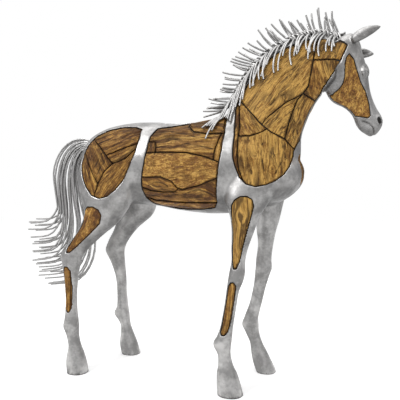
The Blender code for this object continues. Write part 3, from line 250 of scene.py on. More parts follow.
CREST_LINE: tuple[Row, ...] = (
    (24.6, 104.8, 0), (26.4, 108, 0), (30.6, 115, 0), (36.4, 121.2, 0.2), (43.6, 125.4, 0.6),
    (51.8, 127.8, 1.2), (59, 127.4, 2), (64.6, 125, 2.6),
)


class Side(Enum):
    """The two sides of the horse. Each value is the sign of y there."""

    RIGHT = -1.0
    LEFT = 1.0

    @property
    def word(self) -> str:
        """The side's name, as the names of its pieces start."""
        return self.name.lower()


class Figure(Enum):
    """How a piece of root wood is figured."""

    PLANK = "plank"
    BURL = "burl"
    SLAB = "slab"
    RIBBED = "ribbed"


@dataclass(frozen=True)
class Fineness:
    """How finely the meshes are made, in metres and triangles."""

    skin_voxel: float
    carved_voxel: float
    wood_voxel: float
    skin_triangles: int
    wood_share: float

    @staticmethod
    def chosen() -> "Fineness":
        """The fineness of this run.

        Returns:
            The voxel sizes and triangle counts.
        """
        return Fineness(0.006, 0.004, 0.0038, 190_000, 0.5)


def place(x: float, y: float, z: float) -> Vector:
    """A point of the figure, given in hundredths, in metres from the middle of the footprint."""
    return Vector(((x - MIDDLE_X) * SHARE, y * SHARE, z * SHARE))


def head_frame() -> Matrix:
    """The matrix from the head's own frame, in hundredths, to the model's.

    Returns:
        A matrix whose +X is the forehead's side, +Y the left and -Z down the face.
    """
    slope = Matrix.Rotation(-math.radians(90.0 - FACE_SLOPE), 4, "Y")
    yaw = Matrix.Rotation(math.radians(HEAD_YAW), 4, "Z")
    roll = Matrix.Rotation(math.radians(HEAD_ROLL), 4, "X")
    return Matrix.Translation(place(*POLL)) @ yaw @ roll @ slope @ Matrix.Scale(SHARE, 4)


def lattice_noise(points: np.ndarray, seed: int) -> np.ndarray:
    """Smooth random values on a lattice of unit cells.

    Args:
        points: Rows of x, y and z, in cells.
        seed: Chooses the pattern.

    Returns:
        One value from -1 to 1 for each row.
    """
    cell = np.floor(points).astype(np.int64)
    part = points - cell
    part = part * part * (3.0 - 2.0 * part)
    total = np.zeros(len(points))
    for step in product((0, 1), repeat=3):
        hashed = (cell + step) * HASH_PRIMES
        mix = (hashed[:, 0] ^ hashed[:, 1] ^ hashed[:, 2] ^ (seed * 7919 + 17)) & 0x7FFFFFFF
        mix = (mix ^ (mix >> 13)) * 1274126177 & 0x7FFFFFFF
        mix = (mix ^ (mix >> 16)) & 0xFFFFFF
        near = np.abs(1 - np.array(step) - part)
        total += near[:, 0] * near[:, 1] * near[:, 2] * (mix / float(0x7FFFFF) - 1.0)
    return total


def layered_noise(points: np.ndarray, seed: int, layers: int = 3) -> np.ndarray:
    """Noise summed over layers, each twice as fine and half as strong as the last.

    Args:
        points: Rows of x, y and z, in cells of the coarsest layer.
        seed: Chooses the pattern.
        layers: How many layers are summed.

    Returns:
        One value for each row, mostly from -1 to 1.
    """
    total = np.zeros(len(points))
    for layer in range(layers):
        total += lattice_noise(points * 2.0**layer + 31.7 * layer, seed + layer) / 2.0**layer
    return total / 1.4


class Bench:
    """Makes and changes meshes. Each object stays at the origin, with its place in its mesh."""

    @staticmethod
    def add(
        name: str, vertices: Iterable[
            Sequence[float]
        ], faces: Iterable[Sequence[int]], triangles: bool = False
    ) -> Mesh:
        """An object of these points and faces, with its normals made to point out.

        Args:
            name: The object's name.
            vertices: Points in metres.
            faces: Corner numbers of each face.
            triangles: Whether the faces are split into triangles.

        Returns:
            The new object, linked to the scene.
        """
        mesh = bpy.data.meshes.new(name)
        mesh.from_pydata([tuple(v) for v in vertices], [], list(faces))
        shape = bmesh.new()
        shape.from_mesh(mesh)
        bmesh.ops.recalc_face_normals(shape, faces=shape.faces[:])
        if triangles:
            bmesh.ops.triangulate(shape, faces=shape.faces[:])
        shape.to_mesh(mesh)
        shape.free()
        return Bench.linked(name, mesh)

    @staticmethod
    def of_shape(name: str, shape: bmesh.types.BMesh) -> Mesh:
        """A new object of a shape that is being edited, which is freed."""
        mesh = bpy.data.meshes.new(name)
        shape.to_mesh(mesh)
        shape.free()
        return Bench.linked(name, mesh)

    @staticmethod
    def linked(name: str, mesh: bpy.types.Mesh) -> Mesh:
        """A new object of a mesh, linked to the scene."""
        made = bpy.data.objects.new(name, mesh)
        bpy.context.scene.collection.objects.link(made)
        return made

    @staticmethod
    def drop(*spares: Mesh) -> None:
        """Removes objects that are no longer needed."""
        for spare in spares:
            bpy.data.objects.remove(spare, do_unlink=True)

    @staticmethod
    def copied(name: str, source: Mesh) -> Mesh:
        """A copy of an object under another name."""
        return Bench.linked(name, source.data.copy())

    @staticmethod
    def loft(name: str, rings: Sequence[Sequence[Vector]]) -> Mesh:
        """A closed skin through rings of equally many points, capped at both ends.

        Args:
            name: The object's name.
            rings: The rings, from one end to the other.

        Returns:
            The skin.
        """
        count = len(rings[0])
        faces: list[tuple[int, ...]] = []
        for i in range(len(rings) - 1):
            low = i * count
            for j in range(count):
                k = (j + 1) % count
                faces.append((low + j, low + k, low + count + k, low + count + j))
        last = (len(rings) - 1) * count
        faces.append(tuple(range(count)))
        faces.append(tuple(reversed(range(last, last + count))))
        return Bench.add(name, [p for ring in rings for p in ring], faces)

    @staticmethod
    def joined(name: str, pieces: Sequence[Mesh]) -> Mesh:
        """One object of the meshes of several, which are removed.

        Args:
            name: The new object's name.
            pieces: The objects to join.

        Returns:
            The joined object.
        """
        shape = bmesh.new()
        for piece in pieces:
            shape.from_mesh(piece.data)
        Bench.drop(*pieces)
        return Bench.of_shape(name, shape)

    @staticmethod
    def bake(obj: Mesh) -> Mesh:
        """Replaces an object's mesh by the one that its modifiers make.

        Args:
            obj: The object, changed in place.

        Returns:
            The same object.
        """
        bpy.context.view_layer.update()
        graph = bpy.context.evaluated_depsgraph_get()
        mesh = bpy.data.meshes.new_from_object(obj.evaluated_get(graph))
        obj.modifiers.clear()
        obj.data = mesh
        return obj

    @staticmethod
    def changed(obj: Mesh, kind: str, **settings: object) -> Mesh:
        """Applies one modifier.

        Args:
            obj: The object, changed in place.
            kind: The modifier's type.
            settings: The modifier's options.

        Returns:
            The same object.
        """
        change = obj.modifiers.new(kind.lower(), kind)
        for option, value in settings.items():
            setattr(change, option, value)
        return Bench.bake(obj)

    @staticmethod
    def united(name: str, pieces: Sequence[Mesh]) -> Mesh:
        """The exact union of several low-poly solids, which are removed.

        Args:
            name: The new object's name.
            pieces: The solids, which may overlap.

        Returns:
            The union.
        """
        first, *others = pieces
        group = bpy.data.collections.new("operands")
        bpy.context.scene.collection.children.link(group)
        for other in others:
            group.objects.link(other)
        options = {"operation": "UNION", "solver": "EXACT", "operand_type": "COLLECTION", "collection": group}
        Bench.changed(first, "BOOLEAN", **options)
        Bench.drop(*others)
        bpy.data.collections.remove(group)
        first.name = name
        return first

    @staticmethod
    def cut(target: Mesh, operation: str, tool: Mesh, solver: str = "MANIFOLD") -> Mesh:
        """Applies a Boolean with one tool and removes the tool.

        Args:
            target: The object, changed in place.
            operation: INTERSECT, UNION or DIFFERENCE.
            tool: The other solid.
            solver: Which of Blender's solvers does it.

        Returns:
            The target.
        """
        Bench.changed(target, "BOOLEAN", operation=operation, solver=solver, object=tool)
        Bench.drop(tool)
        return target

    @staticmethod
    def reskinned(obj: Mesh, voxel: float, rounds: int) -> Mesh:
        """Remakes a solid's skin from voxels, in metres, and smooths it in rounds, which rounds its edges."""
        Bench.changed(obj, "REMESH", mode="VOXEL", voxel_size=voxel)
        return Bench.changed(obj, "SMOOTH", factor=0.5, iterations=rounds)

    @staticmethod
    def thinned(obj: Mesh, share: float) -> Mesh:
        """Collapses the edges that matter least to the form, keeping a share of the triangles."""
        return Bench.changed(obj, "DECIMATE", ratio=share) if share < 1.0 else obj

    @staticmethod
    def numbers(items: Items, field_name: str) -> np.ndarray:
        """A field of three numbers, read from every item of a mesh's list, one row each."""
        rows = np.empty(len(items) * 3)
        items.foreach_get(field_name, rows)
        return rows.reshape(-1, 3)

    @staticmethod
    def positions(obj: Mesh) -> np.ndarray:
        """The points of an object's mesh, one row each, in metres."""
        return Bench.numbers(obj.data.vertices, "co")

    @staticmethod
    def normals(obj: Mesh) -> np.ndarray:
        """The normals at the points of an object's mesh."""
        return Bench.numbers(obj.data.vertex_normals, "vector")

    @staticmethod
    def move_to(obj: Mesh, positions: np.ndarray) -> None:
        """Sets the points of an object's mesh."""
        obj.data.vertices.foreach_set("co", np.ascontiguousarray(positions, dtype=np.float32).ravel())
        obj.data.update()

    @staticmethod
    def write_values(obj: Mesh, name: str, values: np.ndarray) -> None:
        """Stores a number or a vector at each point, for the materials to read.

        Args:
            obj: The object.
            name: The attribute's name.
            values: One number or one row of three for each point.
        """
        kind = "FLOAT" if values.ndim == 1 else "FLOAT_VECTOR"
        layer = obj.data.attributes.new(name, kind, "POINT")
        layer.data.foreach_set("value" if kind == "FLOAT" else "vector", values.astype(np.float32).ravel())

    @staticmethod
    def smooth_shaded(obj: Mesh) -> Mesh:
        """Shades every face smooth."""
        obj.data.polygons.foreach_set("use_smooth", np.ones(len(obj.data.polygons), dtype=bool))
        return obj

    @staticmethod
    def dressed(obj: Mesh, material: Material) -> Mesh:
        """Gives an object one material, on all its faces."""
        obj.data.materials.clear()
        obj.data.materials.append(material)
        obj.data.polygons.foreach_set("material_index", np.zeros(len(obj.data.polygons), dtype=np.int32))
        return obj

    @staticmethod
    def tree_of(obj: Mesh) -> BVHTree:
        """A search tree of an object's faces."""
        return BVHTree.FromPolygons(
            [v.co for v in obj.data.vertices], [tuple(p.vertices) for p in obj.data.polygons]
        )


def oval(theta: float, power: float) -> Point2:
    """Across and up shares of a superellipse at an angle from its top."""
    across = math.copysign(abs(math.sin(theta)) ** (2.0 / power), math.sin(theta))
    up = math.copysign(abs(math.cos(theta)) ** (2.0 / power), math.cos(theta))
    return across, up


def smoothed(stations: Sequence[Row], steps: int) -> list[Row]:
    """The stations with Catmull-Rom points put in between them.

    Args:
        stations: Rows of numbers.
        steps: How many points each span is given.

    Returns:
        The longer list of rows.
    """
    rows: list[Row] = []
    last = len(stations) - 1
    for i in range(last):
        a, b = stations[max(i - 1, 0)], stations[i]
        c, d = stations[i + 1], stations[min(i + 2, last)]
        for step in range(steps):
            t = step / steps
            row = []
            for p, q, r, s in zip(a, b, c, d):
                square = 2 * p - 5 * q + 4 * r - s
                cube = 3 * q - p - 3 * r + s
                row.append(0.5 * (2 * q + (r - p) * t + square * t * t + cube * t**3))
            rows.append(tuple(row))
    rows.append(tuple(stations[last]))
    return rows


def offset(outline: Sequence[Point2], distance: float) -> list[Point2]:
    """A closed outline moved outwards, each corner along its mitre."""
    count = len(outline)
    area = sum(outline[i - 1][0] * outline[i][1] - outline[i][0] * outline[i - 1][1] for i in range(count))
    turn = 1.0 if area > 0 else -1.0
    moved: list[Point2] = []
    for i in range(count):
        a, b, c = (Vector(outline[k % count]) for k in (i - 1, i, i + 1))
        first, second = (b - a).normalized(), (c - b).normalized()
        mitre = (Vector((first.y + second.y, -first.x - second.x)) * turn).normalized()
        share = max(0.5, mitre.dot(Vector((first.y, -first.x)) * turn))
        moved.append(tuple(b + mitre * (distance / share)))
    return moved


def ribbon(line: Sequence[Point2], width: float) -> list[Point2]:
    """The closed outline of a line given a width."""
    left, right = [], []
    last = len(line) - 1
    for i, here in enumerate(line):
        run = (Vector(line[min(i + 1, last)]) - Vector(line[max(i - 1, 0)])).normalized()
        side = Vector((-run.y, run.x)) * (width / 2)
        left.append(tuple(Vector(here) + side))
        right.append(tuple(Vector(here) - side))
    return left + right[::-1]


def prism(
    name: str, outline: Sequence[Point2], put: Callable[[float, float, float], Vector], low: float,
    high: float
) -> Mesh:
    """A straight solid on an outline.

    Args:
        name: The object's name.
        outline: The closed outline.
        put: Turns two outline numbers and a height into a point.
        low: The height of its first end.
        high: The height of its other end.

    Returns:
        The solid, with triangular faces.
    """
    count = len(outline)
    vertices = [put(a, b, low) for a, b in outline] + [put(a, b, high) for a, b in outline]
    faces: list[tuple[int, ...]] = [
        (i, (i + 1) % count, count + (i + 1) % count, count + i) for i in range(count)
    ]
    faces += [tuple(range(count)), tuple(range(2 * count - 1, count - 1, -1))]
    return Bench.add(name, vertices, faces, triangles=True)


def side_prism(name: str, outline: Sequence[Point2], side: float, reach: float) -> Mesh:
    """A prism across the body, from near the middle plane outwards on one side."""
    return prism(name, outline, lambda a, b, y: place(a, side * y, b), reach, PRISM_END)


def cheek_prism(name: str, outline: Sequence[Point2], side: float, reach: float) -> Mesh:
    """A prism across the head, from near its middle outwards on one side."""
    carry = head_frame()
    return prism(name, outline, lambda a, b, y: carry @ Vector((a, side * y, -b)), reach, CHEEK_PRISM_END)


def leg_outline(rows: Sequence[Row], stations: Sequence[Row]) -> list[Point2]:
    """The outline of a leg's panel, from its heights and width shares."""
    back: list[Point2] = []
    front: list[Point2] = []
    for z, low, high in rows:
        for (z0, b0, f0, _, _), (z1, b1, f1, _, _) in zip(stations, stations[1:]):
            if z1 <= z <= z0:
                t = (z0 - z) / (z0 - z1)
                start, end = b0 + (b1 - b0) * t, f0 + (f1 - f0) * t
                back.append((start + (end - start) * low, z))
                front.append((start + (end - start) * high, z))
                break
    return back + front[::-1]


def tube(name: str, path: Sequence[Vector], radii: Sequence[float], around: int = 10) -> Mesh:
    """A closed round tube along a path.

    Args:
        name: The object's name.
        path: Points in metres.
        radii: The radius at each point.
        around: How many sides it has.

    Returns:
        The tube.
    """
    rings = []
    last = len(path) - 1
    side = Vector((0.0, 0.0, 1.0))
    for i, here in enumerate(path):
        run = (path[min(i + 1, last)] - path[max(i - 1, 0)]).normalized()
        flat = side - run * side.dot(run)
        side = (flat if abs(side.dot(run)) < 0.98 else run.orthogonal()).normalized()
        other = run.cross(side)
        turns = [2 * math.pi * j / around for j in range(around)]
        rings.append([here + (side * math.cos(t) + other * math.sin(t)) * radii[i] for t in turns])
    return Bench.loft(name, rings)


@dataclass
class Anatomy:
    """The horse's form, as lofts that can be drawn in by a depth in hundredths."""

    steps: int = 5
    around: int = 40

    def ring(self, at: Callable[[float, float], Vector], roof: float, foot: float) -> list[Vector]:
        """One ring of the figure.

        Args:
            at: Turns the shares across and up of an oval into a point.
            roof: The roundness of its upper half.
            foot: The roundness of its lower half.

        Returns:
            The ring's points.
        """
        found = []
        for j in range(self.around):
            theta = 2 * math.pi * j / self.around
            found.append(at(*oval(theta, roof if math.cos(theta) > 0 else foot)))
        return found

    def trunk(self, depth: float) -> Mesh:
        """The barrel of the body, from the buttocks to the breast."""
        rings = []
        for x, top, bottom, half, widest, roof in smoothed(TRUNK, self.steps):
            x -= depth * (x - 5.0) / 45.0
            top, bottom, half = top - depth, bottom + depth, max(0.6, half - depth)
            spans = (widest - bottom, top - widest)
            rings.append(
                self.ring(lambda a, up: place(x, half * a, widest + spans[up > 0] * up), roof, TRUNK_FOOT)
            )
        return Bench.loft("trunk", rings)

    def neck(self, depth: float) -> Mesh:
        """The neck, thin at the crest and thick at the throat."""
        rings = []
        for crest_x, crest_z, throat_x, throat_z, half, crest_y, throat_y in smoothed(NECK, self.steps):
            span = math.hypot(crest_x - throat_x, crest_z - throat_z)
            run_x, run_z = (throat_x - crest_x) / span * depth, (throat_z - crest_z) / span * depth
            crest_x, crest_z = crest_x + run_x, crest_z + run_z
            throat_x, throat_z = throat_x - run_x, throat_z - run_z

            def at(across: float, up: float) -> Vector:
                """A point of the neck's ring."""
                narrowing = 1.0 - CREST_NARROWING * (up * 0.5 + 0.5) ** 1.5
                x = (crest_x + throat_x) / 2 + (crest_x - throat_x) / 2 * up
                z = (crest_z + throat_z) / 2 + (crest_z - throat_z) / 2 * up
                middle_y = (crest_y + throat_y) / 2 + (crest_y - throat_y) / 2 * up
                return place(x, middle_y + (half - depth) * across * narrowing, z)

            rings.append(self.ring(at, 2.1, 2.1))
        return Bench.loft("neck", rings)

    def head(self, depth: float) -> Mesh:
        """The head, from the poll to the lips."""
        carry = head_frame()
        rings = []
        for down, forehead, jaw, half, widest in smoothed(HEAD, self.steps):
            down -= depth * (down - 16.0) / 18.0
            forehead, jaw, half = forehead - depth, jaw + depth, max(0.3, half - depth)
            middle = forehead - (forehead - jaw) * widest

            def at(across: float, up: float) -> Vector:
                """A point of the head's ring."""
                reach = forehead - middle if up > 0 else middle - jaw
                pinch = 1.0 if up > 0 else 1.0 - 0.45 * up * up
                return carry @ Vector((middle + reach * up, half * across * pinch, -down))

            rings.append(self.ring(at, 2.2, 2.2))
        return Bench.loft("head", rings)

    def leg(self, name: str, depth: float) -> Mesh:
        """One leg, as level slices from the body down past the floor."""
        rings = []
        for z, back, front, middle_y, half in smoothed(LEGS[name], self.steps):
            back, front, half = back + depth, front - depth, half - depth
            middle_x, reach = (back + front) / 2, (front - back) / 2
            rings.append(
                self.ring(lambda a, b: place(middle_x + reach * b, middle_y + half * a, z), 2.2, 2.2)
            )
        return Bench.loft(name, rings)

    def skin(self, fineness: Fineness) -> Mesh:
        """The whole outside of the horse, as one smooth skin that runs on below the floor.

        Args:
            fineness: How finely it is made.

        Returns:
            The skin.
        """
        pieces = [self.trunk(0.0), self.neck(0.0), self.head(0.0)] + [self.leg(name, 0.0) for name in LEGS]
        pieces += [self.ear("near_ear", *NEAR_EAR), self.ear("far_ear", *FAR_EAR)]
        rounds = round(6 * (0.009 / fineness.skin_voxel) ** 2)
        return Bench.reskinned(Bench.joined("skin", pieces), fineness.skin_voxel, rounds)

    def core(self) -> Mesh:
        """What the panels of the body and head lie on.

        Returns:
            The core, as one closed solid.
        """
        depth = WOOD_DEPTH / SHARE
        pieces = [self.trunk(depth), self.neck(depth), self.head(LIMB_WOOD_DEPTH / SHARE)]
        core = Bench.reskinned(Bench.joined("core", pieces), 0.012, 4)
        return Bench.thinned(core, 0.2)

    def ear(self, name: str, base: Point3, tip: Point3) -> Mesh:
        """A leaf-shaped ear, a little curved, from its base to its tip."""
        low, high = place(*base), place(*tip)
        along = (high - low).normalized()
        side = along.cross(Vector((0.0, 1.0, 0.0))).normalized()
        across = side.cross(along).normalized()
        rings = []
        for share, width in (
            (0.0, 0.8), (0.12, 0.95), (0.3, 1.06), (0.5, 1.02), (0.7, 0.80), (0.87, 0.46), (1.0, 0.14)
        ):
            middle = low.lerp(high, share) + side * (0.5 * math.sin(math.pi * share) * SHARE)
            ring = []
            for j in range(20):
                theta = 2 * math.pi * j / 20
                reach = side * (math.cos(theta) * 1.9) + across * (math.sin(theta) * 1.25)
                ring.append(middle + reach * (width * SHARE))
            rings.append(ring)
        return Bench.loft(name, rings)


@dataclass
class Panels:
    """The prisms that cut the wood's outlines from the figure."""

    growth: float = 0.0
    bed: float = 0.0

    def torso(self) -> list[Mesh]:
        """The prisms of the neck, barrel and rump on both sides."""
        more = self.growth / SHARE
        made = []
        for side in Side:
            for word, outline, reach in (
                ("neck", NECK_PANEL, NECK_REACH),
                ("barrel", BARREL_PANEL, BARREL_REACH),
                ("rump", RUMP_PANEL, RUMP_REACH),
            ):
                made.append(
                    side_prism(f"{side.word}_{word}", offset(outline, more), side.value, reach - more)
                )
        return made

    def limbs(self) -> list[Mesh]:
        """The prisms of the cheeks and legs on both sides."""
        more, deeper = self.growth / SHARE, self.bed / SHARE
        made = []
        for side in Side:
            made.append(
                cheek_prism(side.word + "_cheek", offset(CHEEK_PANEL, more), side.value, CHEEK_REACH - more)
            )
            for word, end, rows, reach in LEG_PANELS:
                outline = offset(leg_outline(rows, LEGS[f"{side.word}_{end}"]), more)
                made.append(side_prism(f"{side.word}_{word}", outline, side.value, reach - deeper))
        return made

    def breast(self) -> Mesh:
        """The prism of the breast panel."""
        more = self.growth / SHARE
        outline = offset(BREAST_PANEL, more)
        return prism("breast", outline, lambda a, b, x: place(x, a, b), BREAST_REACH - more, 60.0)

    def saddle(self) -> Mesh:
        """The prism of the block over the withers."""
        return prism(
            "saddle", offset(SADDLE_BLOCK, self.growth / SHARE), lambda a, b, z: place(a, b, z), 84.0, 112.0
        )


@dataclass
class HeadDetails:
    """The carved features of the head. Sizes are hundredths in the head's frame: forward, left, down."""

    eye_radii: Point3 = (1.35, 1.45, 1.5)
    lid_radius: float = 0.46
    lid_half_length: float = 1.95
    lid_half_height: float = 1.05
    nostril_down: float = 29.4
    mouth_radius: float = 0.42
    mouth: tuple[Point2, ...] = ((-5.6, 27.6), (-4.1, 28.6), (-2.9, 30.1), (-2.3, 31.6), (-2.4, 33.6))
    carry: Matrix = field(default_factory=head_frame)

    def at(self, forward: float, left: float, down: float) -> Vector:
        """A point of the head's frame, in metres."""
        return self.carry @ Vector((forward, left, -down))

    def on_skin(self, tree: BVHTree, forward: float, down: float, side: float, lift: float = 0.0) -> Vector:
        """The point of the skin straight out from the head's middle plane.

        Args:
            tree: The skin's search tree.
            forward: Where it is on the head, in hundredths.
            down: How far down the face it is, in hundredths.
            side: The sign of the side.
            lift: How far outside the skin the point is put, in hundredths.

        Returns:
            The point in metres.
        """
        start = self.at(forward, side * 12.0, down)
        run = (self.at(forward, 0.0, down) - start).normalized()
        found = tree.ray_cast(start, run, 0.3)[0]
        return (found if found is not None else self.at(forward, side * 2.0, down)) - run * (lift * SHARE)

    def ball(self, name: str, centre: Vector, radii: Point3, turn: float = 0.0) -> Mesh:
        """An ellipsoid in the head's frame, turned about the head's left axis."""
        shape = bmesh.new()
        bmesh.ops.create_icosphere(shape, subdivisions=4, radius=1.0)
        spin = Matrix.Rotation(math.radians(turn), 4, "Y")
        local = self.carry.to_3x3().normalized().to_4x4()
        size = Matrix.Diagonal((*(r * SHARE for r in radii), 1.0))
        bmesh.ops.transform(shape, matrix=Matrix.Translation(centre) @ local @ spin @ size, verts=shape.verts)
        return Bench.of_shape(name, shape)

    def strip(self, name: str, tree: BVHTree, side: float, rows: Iterable[Row]) -> Mesh:
        """A tube along the skin.

        Args:
            name: The object's name.
            tree: The skin's search tree.
            side: The sign of the side.
            rows: Forward, down, lift off the skin and radius of each point, in hundredths.

        Returns:
            The tube.
        """
        path, radii = [], []
        for forward, down, lift, radius in rows:
            path.append(self.on_skin(tree, forward, down, side, lift))
            radii.append(radius * SHARE)
        return tube(name, path, radii)

    def lid(self, tree: BVHTree, side: float, edge: float) -> Mesh:
        """An eyelid: the upper one where the edge is 1, and the lower one where it is -1."""
        forward, _, down = EYE
        path, radii = [], []
        for k in range(17):
            t = k / 8.0 - 1.0
            bulge = 1.0 - t * t
            rise = edge * self.lid_half_height * bulge**0.7 * (1.15 if edge > 0 else 0.85)
            spot = self.on_skin(tree, forward + rise - 0.32 * t, down + self.lid_half_length * t, side, 0.12)
            path.append(spot + self.outward(side) * (0.5 * bulge * SHARE))
            radii.append(self.lid_radius * SHARE * (0.55 + 0.6 * bulge))
        return tube("lid", path, radii)

    def raised(self, tree: BVHTree) -> list[Mesh]:
        """What stands out from the head: eyeballs, lids, brows, nostril rims and cheekbone ridges.

        Args:
            tree: The skin's search tree.

        Returns:
            The solids to unite with the skin.
        """
        made = []
        forward, _, down = EYE
        for side in (-1.0, 1.0):
            middle = self.on_skin(tree, forward, down, side)
            made.append(self.ball("eyeball", middle - self.outward(side) * (0.55 * SHARE), self.eye_radii))
            made += [self.lid(tree, side, 1.0), self.lid(tree, side, -1.0)]
            rows = []
            for k in range(13):
                t = k / 6.0 - 1.0
                bulge = 1.0 - t * t
                place_down = down + 2.2 * t - 0.4
                rows.append(
                    (forward + 1.95 + 0.35 * bulge - 0.5 * t - 0.3, place_down, -0.15, 0.35 + 0.35 * bulge)
                )
            made.append(self.strip("brow", tree, side, rows))
            turns = [math.radians(300.0 * k / 18.0 - 150.0) for k in range(19)]
            rim = [
                (0.35 + 0.95 * math.sin(a), self.nostril_down - 1.45 * math.cos(a), 0.02, 0.46) for a in turns
            ]
            made.append(self.strip("nostril_rim", tree, side, rim))
            shares = [k / 10.0 for k in range(11)]
            ridge = [
                (1.5 * t - 3.4, 15.0 + 8.5 * t, -0.38, 0.62 * (0.5 + math.sin(math.pi * t))) for t in shares
            ]
            made.append(self.strip("cheekbone", tree, side, ridge))
        return made

    def outward(self, side: float) -> Vector:
        """The direction out of the head on one side."""
        return (self.carry.to_3x3() @ Vector((0.0, side, 0.0))).normalized()

    def hollows(self, tree: BVHTree) -> list[Mesh]:
        """What is cut into the head: the nostrils and the mouth's line.

        Args:
            tree: The skin's search tree.

        Returns:
            The solids to cut away.
        """
        made = []
        for side in (-1.0, 1.0):
            spot = self.on_skin(tree, 0.3, self.nostril_down, side, -0.1)
            made.append(self.ball("nostril", spot, (0.85, 0.95, 1.45), -14.0))
            rows = [(forward, down, 0.05, self.mouth_radius) for forward, down in smoothed(self.mouth, 4)]
            made.append(self.strip("mouth", tree, side, rows))
        middle = [self.at(-2.2, 1.6 * t, 34.0 + 0.3 * (1 - t * t)) for t in (-1.0, -0.5, 0.0, 0.5, 1.0)]
        made.append(tube("mouth_front", middle, [SHARE * self.mouth_radius] * len(middle)))
        return made

    def ear_hollows(self) -> list[Mesh]:
        """The scoops of the ears, on their upper front faces."""
        made = []
        for base, tip, lean in ((*NEAR_EAR, 0.8), (*FAR_EAR, -0.8)):
            low, high = place(*base), place(*tip)
            along = (high - low).normalized()
            face = Vector((0.1, lean, 0.55))
            face = (face - along * face.dot(along)).normalized()
            path = [low.lerp(high, 0.30 + 0.60 * k / 8.0) + face * (1.15 * SHARE) for k in range(9)]
            radii = [
                SHARE * 0.95 * math.sin(math.pi * (0.16 + 0.84 * k / 8.0)) ** 0.8 + 0.001 for k in range(9)
            ]
            made.append(tube("ear_hollow", path, radii, 14))
        return made


@dataclass
class Casting:
    """The aluminium casting: the horse's whole skin with pockets for the wood."""

    fineness: Fineness
    anatomy: Anatomy
    mottle_height: float = 0.0009
    # Soft swellings and hollows of muscle and bone: x, y, z, radius and height, in hundredths.
    swellings: tuple[tuple[float, float, float, float, float], ...] = (
        (27.6, -14.2, 68.0, 3.4, 0.45), (24.2, -10.6, 71.5, 3.0, 0.5), (30.6, -15.2, 43.6, 2.2, 0.35),
        (22.4, -13.0, 17.4, 1.7, 0.55), (26.0, 12.9, 18.0, 1.7, 0.5), (-41.6, -13.5, 17.6, 1.7, 0.5),
        (-34.2, 13.5, 17.4, 1.7, 0.5), (-43.9, -11.8, 46.6, 2.0, 0.45), (-38.0, 12.0, 46.6, 2.0, 0.45),
        (-16.0, -13.8, 70.0, 4.0, 0.5), (-9.0, -12.0, 69.0, 5.0, -0.7), (46.5, -8.6, 74.0, 5.0, 0.5),
        (46.5, 8.6, 74.0, 5.0, 0.5), (37.0, -12.5, 66.5, 3.2, -0.45), (37.0, 12.5, 66.5, 3.2, -0.45),
    )

    def figure(self) -> Mesh:
        """The skin with its swellings, before anything is cut from it.

        Returns:
            The solid, which runs on below the floor.
        """
        skin = self.anatomy.skin(self.fineness)
        points, normals = Bench.positions(skin), Bench.normals(skin)
        lift = np.zeros(len(points))
        for x, y, z, radius, height in self.swellings:
            away = np.linalg.norm(points - np.array(place(x, y, z)), axis=1)
            lift += height * SHARE * np.exp(-((away / (radius * SHARE)) ** 2))
        lift += self.mottle_height * layered_noise(points / 0.075, 5, 2)
        Bench.move_to(skin, points + normals * lift[:, None])
        return skin

    def build(self, figure: Mesh, core: Mesh) -> Mesh:
        """Cuts the pockets, carves the head and levels the hooves.

        Args:
            figure: The whole skin, which is left as it is.
            core: What the wood lies on.

        Returns:
            The casting.
        """
        body = Bench.copied("cast_body", figure)
        tree = Bench.tree_of(figure)
        details = HeadDetails()
        for solid in details.raised(tree):
            Bench.cut(body, "UNION", solid)
        for solid in details.hollows(tree) + details.ear_hollows():
            Bench.cut(body, "DIFFERENCE", solid)
        panels = Panels(GROOVE, BED_GAP)
        pockets = Bench.united(
            "pockets", panels.torso() + panels.limbs() + [panels.breast(), panels.saddle()]
        )
        Bench.cut(pockets, "DIFFERENCE", Bench.copied("bed", core), "EXACT")
        Bench.cut(body, "DIFFERENCE", pockets)
        Bench.reskinned(body, self.fineness.carved_voxel, 3)
        self.level(body)
        Bench.thinned(body, self.fineness.skin_triangles / (2.0 * len(body.data.polygons)))
        self.mark_depth(body, tree)
        return Bench.smooth_shaded(body)

    @staticmethod
    def level(body: Mesh) -> None:
        """Cuts everything below the floor away and closes the soles.

        Args:
            body: The casting, changed in place.
        """
        shape = bmesh.new()
        shape.from_mesh(body.data)
        everything = shape.verts[:] + shape.edges[:] + shape.faces[:]
        cut = bmesh.ops.bisect_plane(
            shape, geom=everything, plane_co=(0, 0, 0), plane_no=(0, 0, 1), clear_inner=True
        )
        rims = [e for e in cut["geom_cut"] if isinstance(e, bmesh.types.BMEdge)]
        bmesh.ops.holes_fill(shape, edges=rims)
        shape.to_mesh(body.data)
        shape.free()

    @staticmethod
    def mark_depth(body: Mesh, tree: BVHTree) -> None:
        """Stores how far each point lies under the horse's skin, in metres, for the painted shade and grime
        in the grooves and hollows.

        Args:
            body: The casting.
            tree: The search tree of the whole skin.
        """
        ear_root = place(68.5, 0.0, 119.0)
        depths = np.zeros(len(body.data.vertices))
        for i, vertex in enumerate(body.data.vertices):
            near, normal, _, away = tree.find_nearest(vertex.co, 0.05)
            if near is not None and (vertex.co - near).dot(normal) < 0:
                depths[i] = away
            elif near is None:
                depths[i] = 0.05
            # The ears get only a quarter of the depth, so little of the painted shade.
            if vertex.co.x > ear_root.x and vertex.co.z > ear_root.z:
                depths[i] *= 0.25
        Bench.write_values(body, "depth", depths)


PLANK, BURL, SLAB, RIBBED = Figure

# How long and how wide the splits between the fibres run in each figure of wood, in metres.
RELIEF_GRAIN: dict[Figure, Point2] = {
    PLANK: (0.16, 0.024),
    BURL: (0.07, 0.030),
    SLAB: (0.065, 0.017),
    RIBBED: (0.20, 0.030),
}


@dataclass(frozen=True)
class Timber:
    """How a piece of wood was cut: figure, grain's angle from +X, paleness, and a point in its face."""

    figure: Figure
    angle: float
    tone: float
    seed: Point2 | None = None


